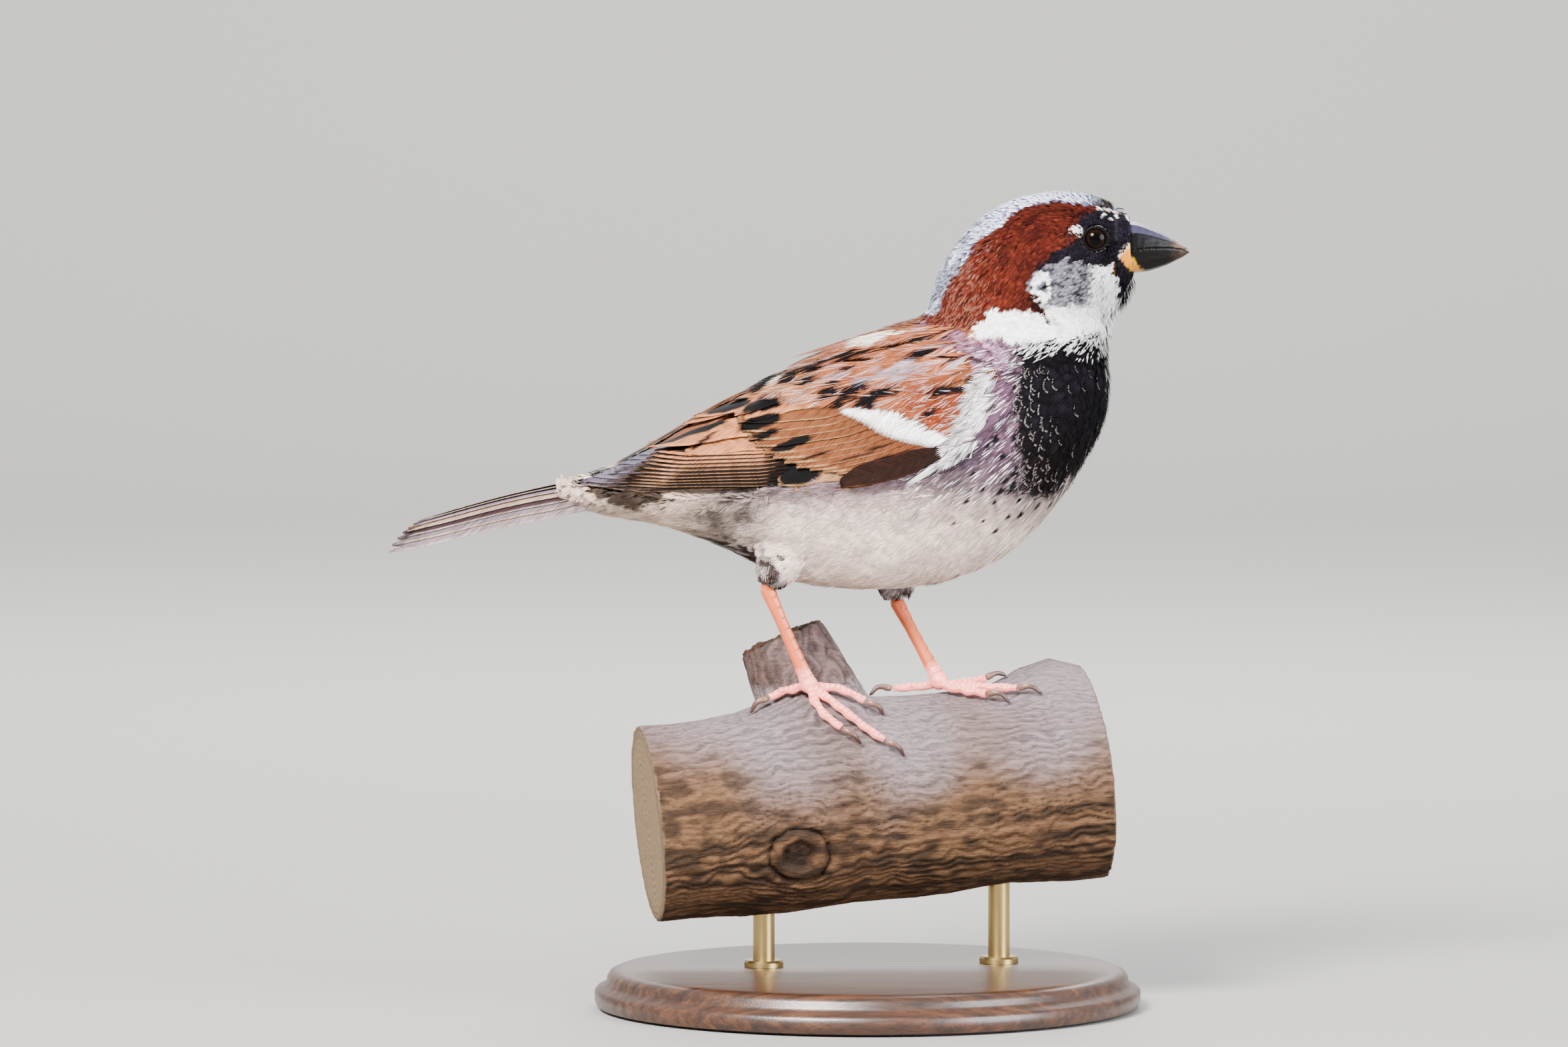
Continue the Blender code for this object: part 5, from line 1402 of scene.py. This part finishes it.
def marked(x, z, marks):
    """How far each (x, z) is inside any leaf-shaped mark, from 0 to 1."""
    depth = np.zeros(x.shape)
    places = np.stack([0.45 * x + 0.16 * z, 0 * x, 1.7 * z - 0.6 * x], -1).reshape(-1, 3)
    frayed = clouds(places, 1.0, 3.0).reshape(x.shape)
    for (x0, z0), (x1, z1), half in marks:
        run_x, run_z = x1 - x0, z1 - z0
        span = math.hypot(run_x, run_z)
        share = ((x - x0) * run_x + (z - z0) * run_z) / span**2
        off = np.abs((x - x0) * run_z - (z - z0) * run_x) / span
        limit = half * np.clip(4 * share * (1 - share), 0, 1) ** 0.55 * (1 + 0.45 * frayed)
        share = share + 0.12 * frayed
        depth = np.maximum(depth, smooth(limit - off, -0.12, 0.12) * (share > 0) * (share < 1))
    return depth


def shoulder_tone(places):
    """Colour of the soft shoulder and mantle feathers: rufous, redder towards the bend of the wing."""
    x, z = places[..., 0], places[..., 2]
    front = smooth(x, 2, 12) * smooth(117.5 - z, 0, 4)
    colour = mix(np.broadcast_to(RUFOUS, places.shape), LESSER, front)
    pale = smooth(-x, 4, 16) * 0.5
    colour = mix(colour, COVERT_EDGE, pale * 0.6)
    colour = mix(colour, CREAM_TONE, marked(x, z, CREAM_MARKS))
    colour = mix(colour, STREAK, marked(x, z, DARK_MARKS))
    return mix(colour, LILAC, 0.8 * marked(x, z, LILAC_MARKS))


SOFT_SLOPE, FIRM_SLOPE = 0.6, 0.35  # how much lower a feather's root lies than its tip


def on_both(coats, shape, spine, width, lift, colours):
    """Adds one feather to the right wing, and its mirror image to the left."""
    length = np.linalg.norm(np.diff(spine[0], axis=0), axis=1).sum()
    for mirrored, coat in coats.items():
        spot = bake_spot(spine[0][0] * ((1, -1, 1) if mirrored else (1, 1, 1)))
        coat.put(shape, [item[None] for item in spine], np.array([width]), lift, colours, spot[None],
                 np.array([length]), mirrored)


def soft_row(routes, half_width, lift, shape, paint_by, barb_wobble=0.22):
    """Lays a row of loose-barbed feathers on both wings, coloured barb by barb from where each lies."""

    def by_barb(grown):
        middle = grown.reshape(1, -1, 4, 3).mean(2)
        middle = middle + barb_wobble * rng.normal(size=middle.shape)
        tone_k = paint_by(middle) * rng.uniform(0.62, 1.25, (1, middle.shape[1], 1))
        pinkish = (rng.random(middle.shape[:2]) < 0.22) & (tone_k[..., 0] > 0.1)
        return mix(tone_k, SHOULDER_PINK, 0.6 * pinkish).repeat(4, axis=1)

    for line in routes:
        width = half_width * rng.uniform(0.9, 1.1)
        height = sloping(lift + rng.uniform(-0.06, 0.06), SOFT_SLOPE)
        on_both(soft_wing, shape, on_side(line, 6), width, height, by_barb)


def firm_row(routes, half_widths, lifts, shape, look, count=9, marks=()):
    """Lays a row of vanes, with dark marks over each feather's own pattern."""
    u, v, _ = shape[0].T
    for number, line in enumerate(routes):
        share = number / max(1, len(routes) - 1)
        width, lift = (np.interp(share, np.linspace(0, 1, len(row)), row) for row in (half_widths, lifts))
        pattern = look(share)

        def by_place(grown):
            tone_k = vane_colours(u, v, **pattern)[None]
            if marks:
                tone_k = mix(tone_k, COVERT_DARK, marked(grown[..., 0], grown[..., 2], marks))
            # Each vane is painted darker towards its root: painted shade under the feather that overlaps it.
            tone_k = tone_k * rng.uniform(0.94, 1.06) * (0.82 + 0.22 * smooth(u, 0.0, 0.5))[None, :, None]
            return tone_k * (1 + 0.05 * rng.normal(size=(1, len(u), 1)))

        on_both(coat_wing, shape, on_side(line, count), width, sloping(lift, FIRM_SLOPE), by_place)


long_blade, broad_blade = closed_vane(30, 0.8, 21), closed_vane(26, 0.3, 22, ragged=0.05)
hair_blade = plume(45, 0.04, 24)
short_hair = plume(29, 0.055, 25)
open_hair = plume(15, 0.045, 26)

PRIMARY_TIPS = [(-45.5, 95.9), (-49.5, 96.2), (-52.6, 96.9), (-51.6, 97.5), (-50.1, 98.2), (-48.5, 98.9),
                (-46.8, 99.6), (-45.1, 100.4), (-43.4, 101.2), (-41.7, 102.0)]
primaries = [((-10, 97.0 + 0.5 * k), (-30.0, 96.4 + 0.8 * k), (tip[0] + 6.0, tip[1] + 0.16 * k), tip)
             for k, tip in enumerate(PRIMARY_TIPS)]
firm_row(primaries, (1.2, 1.5, 1.6, 1.6), (-0.9, -0.55), broad_blade,
         lambda s: dict(web=mix(PRIMARY_DARK, PRIMARY_TIP, 0.5 * s),
                        edge=mix(SECONDARY_EDGE, PRIMARY_TIP * 1.45, min(1, 2 * s)),
                        centre=mix(PRIMARY_DARK, PRIMARY_TIP, min(1, 0.2 + 2 * s)),
                        oval=(1.02, 0, 0.16 + 0.24 * s, 2.4), outer=0.92, tip=0.99), count=14)
secondaries = fan([(-10, 97.6), (-11, 104.4)],
                  [(-45.8, 96.7), (-44.0, 98.0), (-42.2, 99.5), (-40.6, 101.1), (-38.8, 102.7)], 10)
firm_row(secondaries, (1.3, 1.8), (-0.52, -0.33), long_blade,
         lambda s: dict(web=SECONDARY_DARK, edge=mix(SECONDARY_EDGE, TERTIAL_EDGE, s),
                        outer=0.88 - 0.20 * s**2, tip=0.985), count=12)
tertials = [((-4, 116.0), (-15, 114.6), (-25, 111.6)), ((-10, 112.4), (-22, 111.4), (-33.5, 107.2)),
            ((-12, 104.6), (-22, 104.4), (-33.5, 102.6)), ((-11, 108.2), (-24, 107.0), (-40.4, 102.9)),
            ((-9, 112.4), (-20, 111.6), (-31.5, 108.4)), ((-6, 114.0), (-15, 113.0), (-24.4, 109.2)),
            ((-5, 113.0), (-14, 111.4), (-22.6, 108.4))]
firm_row(tertials, (2.0, 2.2, 1.9, 2.5, 2.3, 2.2, 2.2),
         (-0.34, -0.30, -0.3, -0.2, -0.1, 0.0, 0.05), broad_blade,
         lambda s: dict(web=mix(TERTIAL_EDGE, COVERT, 0.25), edge=TERTIAL_EDGE, outer=0.72, inner=0.78,
                        tip=0.95), count=10, marks=DARK_MARKS)
firm_row([((1, 99.3), (-8, 99.0), (-16.6, 97.4))], (2.0,), (-0.2,), broad_blade,
         lambda s: dict(web=mix(COVERT_EDGE, COVERT, 0.3), edge=COVERT_EDGE, centre=COVERT_DARK,
                        oval=(0.80, -0.05, 0.27, 0.92), outer=0.90, tip=0.96))
firm_row([((3, 97.2), (-6, 96.4), (-13.5, 96.0))], (1.0,), (-0.3,), broad_blade,
         lambda s: dict(web=mix(COVERT, COVERT_DARK, 0.3), edge=COVERT_EDGE, outer=0.66, tip=0.95))
firm_row([((12.6, 102.4), (4.5, 99.7), (-5.4, 97.2))], (2.15,), (0.45,), broad_blade,
         lambda s: dict(web=ALULA_DARK, edge=mix(ALULA_DARK, COVERT, 0.4), outer=0.88, inner=0.94))
soft_row([((14.0, 101.2), (10.2, 98.8), (6.2, 96.4))], 0.75, 0.55, short_hair,
         lambda q: np.broadcast_to(WHITE_BAR, q.shape))
greater = fan([(12.0, 103.6), (5, 106.6), (-2, 111.0)],
              [(-6.0, 99.4), (-9.5, 99.9), (-13.0, 100.4), (-16.0, 101.6), (-18.8, 102.8), (-21.0, 104.4),
               (-22.6, 106.2), (-23.8, 108.4)], 11)
firm_row(greater, (1.8, 2.2), (-0.1, 0.02), broad_blade,
         lambda s: dict(web=mix(COVERT, LESSER, 0.30 * (1 - s)),
                        edge=mix(COVERT_EDGE, COVERT, 0.35 - 0.25 * s), outer=0.84, tip=0.955),
         marks=DARK_MARKS)
bar = fan([(18.0, 108.0), (11, 110.6), (4, 113.0), (0.5, 113.4)],
          [(9.8, 103.5), (6.6, 104.0), (3.6, 104.7), (1.2, 105.6), (-2.6, 108.0), (-5.4, 109.2)], 19)
BAR_TOP = ((-6, -1, 2, 7, 12, 16), (110.6, 110.8, 110.4, 108.6, 106.4, 105.6))  # its upper edge, x and z
soft_row(bar, 1.5, 0.16, short_hair,
         lambda q: mix(np.broadcast_to(WHITE_BAR, q.shape), LESSER_DARK,
                       smooth(q[..., 2] - np.interp(q[..., 0], *BAR_TOP), -0.2, 0.4)))
for row in range(4):
    line = [(18.6 + 0.2 * row, 107.9 + 2 * row), (13.2, 110.3 + 1.7 * row), (8.2, 112.5 + 1.2 * row),
            (1.4, 112.9 + 0.9 * row)]
    spots = strewn(line, 12 - row, 0.25)
    soft_row([(q, q - (6.0, 2.2)) for q in spots], 1.5, 0.2 + 0.03 * row, short_hair,
             shoulder_tone)
SHOULDER_ROWS = [([(10, 114.2), (2, 113.8), (-10, 114.0)], 9),
                 ([(19.5, 117.4), (6, 117.0), (-10, 115.6), (-16, 115.4)], 16),
                 ([(18.6, 119.8), (6, 119.6), (-8, 117.8), (-14, 116.6)], 15),
                 ([(16.6, 122.4), (6, 122.0), (-8, 119.4)], 13),
                 ([(15.5, 124.6), (6, 124.2), (-4, 121.6)], 10)]
for row, (line, number) in enumerate(SHOULDER_ROWS):
    spots = strewn(line, number, 0.3)
    soft_row([(q, q - ((9.5, 3.4) if q[0] > -8 else (7.0, 3.7))) for q in spots], 2.0, 0.3 + 0.03 * row,
             hair_blade, shoulder_tone)
# Loose white barbs of the breast side lie over the front of the wing.
for row in range(3):
    line = [(23.5 - 0.9 * row, 117.0 - 0.6 * row), (22.0 - 0.9 * row, 110.5), (19.6 - row, 105.0),
            (17.4 - row, 102.4)]
    spots = strewn(line, 13, 0.4)
    routes = [(q, (q[0] - 4.2 - 1.4 * rng.random(), q[1] - 1.8 - 1.8 * rng.random())) for q in spots]
    soft_row(routes, 1.5, 0.28, open_hair,
             lambda q: mix(np.broadcast_to(BREAST_GREY, q.shape), WHITE_BAR, rng.random(q.shape[:2])),
             barb_wobble=0.1)
for mirrored, side_name in ((False, "right"), (True, "left")):
    nodes = [f"wing_{tract}_{side_name}" for tract in ("coverts", "secondaries", "primaries")]
    coat_wing[mirrored].sew(f"wing_{side_name}_feathers", firm_finish, "plumage_back", *nodes)
    soft_wing[mirrored].sew(f"wing_{side_name}_soft", soft_finish, "plumage_back")

# ================================================================ tail
# Twelve tail feathers held closed, each a closed blade: the middle pair on top, the others stepped under it,
# brown-grey with paler edges.

TAIL_ROOT, TAIL_END = np.array((-46.0, 97.4)), np.array((-87.8, 86.9))
TAIL_BOW = 1.0  # how far the middle pair bows up
TAIL_ROOT_HALF, TAIL_END_HALF = 3.6, 9.2
TAIL_ROOT_ARCH, TAIL_END_ARCH = 4.9, 3.2  # the outer feathers hang this far below the middle pair
TAIL_STACK = 0.14
TAIL_FEATHER_HALF = 1.75
TAIL_EDGE, TAIL_BUFF = linear("#A2969F", "#AD9A84")
# The feathers' webs, from the middle pair to the outer pair.
TAIL_WEBS = linear("#665C66", "#83757F", "#AA8D7E", "#392A2F", "#74696F", "#807378")
TAIL_NOTCH = 0.15
tail_coat = Coat()
u, v, _ = long_blade[0].T
share = np.linspace(0, 1, 12)
for side in (-1, 1):
    for rank in range(6):
        outward = (rank + 0.5) / 6
        reach = 1 - TAIL_NOTCH * (1 - outward)
        place_on = share * reach
        half = TAIL_ROOT_HALF + (TAIL_END_HALF - TAIL_ROOT_HALF) * place_on**0.8
        arch = TAIL_ROOT_ARCH + (TAIL_END_ARCH - TAIL_ROOT_ARCH) * place_on
        centre = TAIL_ROOT + (TAIL_END - TAIL_ROOT) * place_on[:, None]
        rise = TAIL_BOW * np.sin(math.pi * place_on) - arch * outward**2
        places = np.stack([centre[:, 0], side * outward * half, centre[:, 1] + rise], 1)
        tilt = np.arctan(2 * arch * outward / half)
        ups = np.stack([0.2 + 0 * tilt, side * np.sin(tilt), np.cos(tilt)], 1)
        ups, sides = squared(places, ups)
        places -= ups * (TAIL_STACK * rank)
        # Across a feather, +1 is its right edge as it points back: the outer edge on the bird's left.
        out_side = v * np.sign((sides[6] * (0, side, 0)).sum())
        tone_k = vane_colours(u, out_side, TAIL_WEBS[rank], mix(TAIL_BUFF, TAIL_EDGE, 0.5 * (rank % 2)),
                              outer=0.80, inner=0.9, tip=0.985)
        length = np.linalg.norm(TAIL_END - TAIL_ROOT) * reach
        spine = [item[None] for item in (places, ups, sides)]
        tail_coat.put(long_blade, spine, np.array([TAIL_FEATHER_HALF]), sloping(0.0, 0.0),
                      tone_k[None] * rng.uniform(0.94, 1.06), bake_spot((-50, side * 2, 96))[None],
                      np.array([length]))
tail_coat.sew("tail_feathers", firm_finish, "plumage_tail", "tail")

# ================================================================ floor, light and camera
# A plain pale floor of matt paper that curves up 1.75 m behind the bird, clear of a camera on any side. A
# large soft key light in front, a fill, a rim light behind and one on the backdrop. A long lens at 1.5 m.

BACKDROP_AT = 1.75  # how far behind the bird the floor starts to rise, in metres
BACKDROP_CURVE = 0.5  # radius of the curve from floor to wall
floor_bm = bmesh.new()
bmesh.ops.create_grid(floor_bm, x_segments=1, y_segments=60, size=3.0)
for v in floor_bm.verts:
    back = max(0.0, v.co.y - BACKDROP_AT)
    turn = min(back / BACKDROP_CURVE, math.pi / 2)
    v.co.y = BACKDROP_AT + BACKDROP_CURVE * math.sin(turn) if back else v.co.y
    v.co.z = BACKDROP_CURVE * (1 - math.cos(turn)) + max(0.0, back - BACKDROP_CURVE * math.pi / 2)
    v.co.z -= 0.0002
floor_mesh = bpy.data.meshes.new("floor")
floor_bm.to_mesh(floor_mesh)
floor_bm.free()
floor_mesh.shade_smooth()
floor = bpy.data.objects.new("floor", floor_mesh)
bpy.context.scene.collection.objects.link(floor)
matt, _ = new_material("studio_paper", 0.9, Base_Color=srgb("#8F8E8B"))
floor_mesh.materials.append(matt)


def soft_light(name, place, aim, size, watts, colour="#FFFFFF"):
    lamp = bpy.data.lights.new(name, "AREA")
    lamp.shape = "ELLIPSE"
    lamp.size, lamp.size_y = size
    lamp.energy = watts
    lamp.color = srgb(colour)[:3]
    obj = bpy.data.objects.new(name, lamp)
    obj.location = place
    obj.rotation_mode = "QUATERNION"
    obj.rotation_quaternion = (Vector(aim) - Vector(place)).to_track_quat("-Z", "Y")
    bpy.context.scene.collection.objects.link(obj)


aim = (0, 0, 0.1)
soft_light("key", (-0.45, -0.85, 0.78), aim, (0.5, 0.45), 68.0, "#FFFAF6")
soft_light("fill", (0.85, -0.6, 0.35), aim, (0.7, 0.7), 26.0, "#F8F9FF")
soft_light("rim", (0.1, 0.8, 0.75), aim, (0.8, 0.4), 16.0)
soft_light("backdrop_light", (0, 0.9, 1.3), (0, 2.2, 0.35), (1.6, 0.6), 70)
world = bpy.data.worlds.new("studio")
bpy.context.scene.world = world
world.use_nodes = True
world.node_tree.nodes["Background"].inputs["Color"].default_value = srgb("#EEF1F4")
world.node_tree.nodes["Background"].inputs["Strength"].default_value = 1.15

CAMERA_DISTANCE = 1.5
CAMERA_HEIGHT = math.radians(3.0)
VIEW_WIDTH = 0.2865  # how much the frame takes in at the bird's distance
target = Vector((-0.0153, 0, 0.0885))
camera_data = bpy.data.cameras.new("camera")
camera_data.sensor_width = 36
camera_data.lens = 36 * CAMERA_DISTANCE / VIEW_WIDTH
camera_data.clip_start = 0.05
camera = bpy.data.objects.new("camera", camera_data)
camera.location = target + Vector((0, -math.cos(CAMERA_HEIGHT), math.sin(CAMERA_HEIGHT))) * CAMERA_DISTANCE
camera.rotation_mode = "QUATERNION"
camera.rotation_quaternion = (target - camera.location).to_track_quat("-Z", "Y")
bpy.context.scene.collection.objects.link(camera)
bpy.context.scene.camera = camera
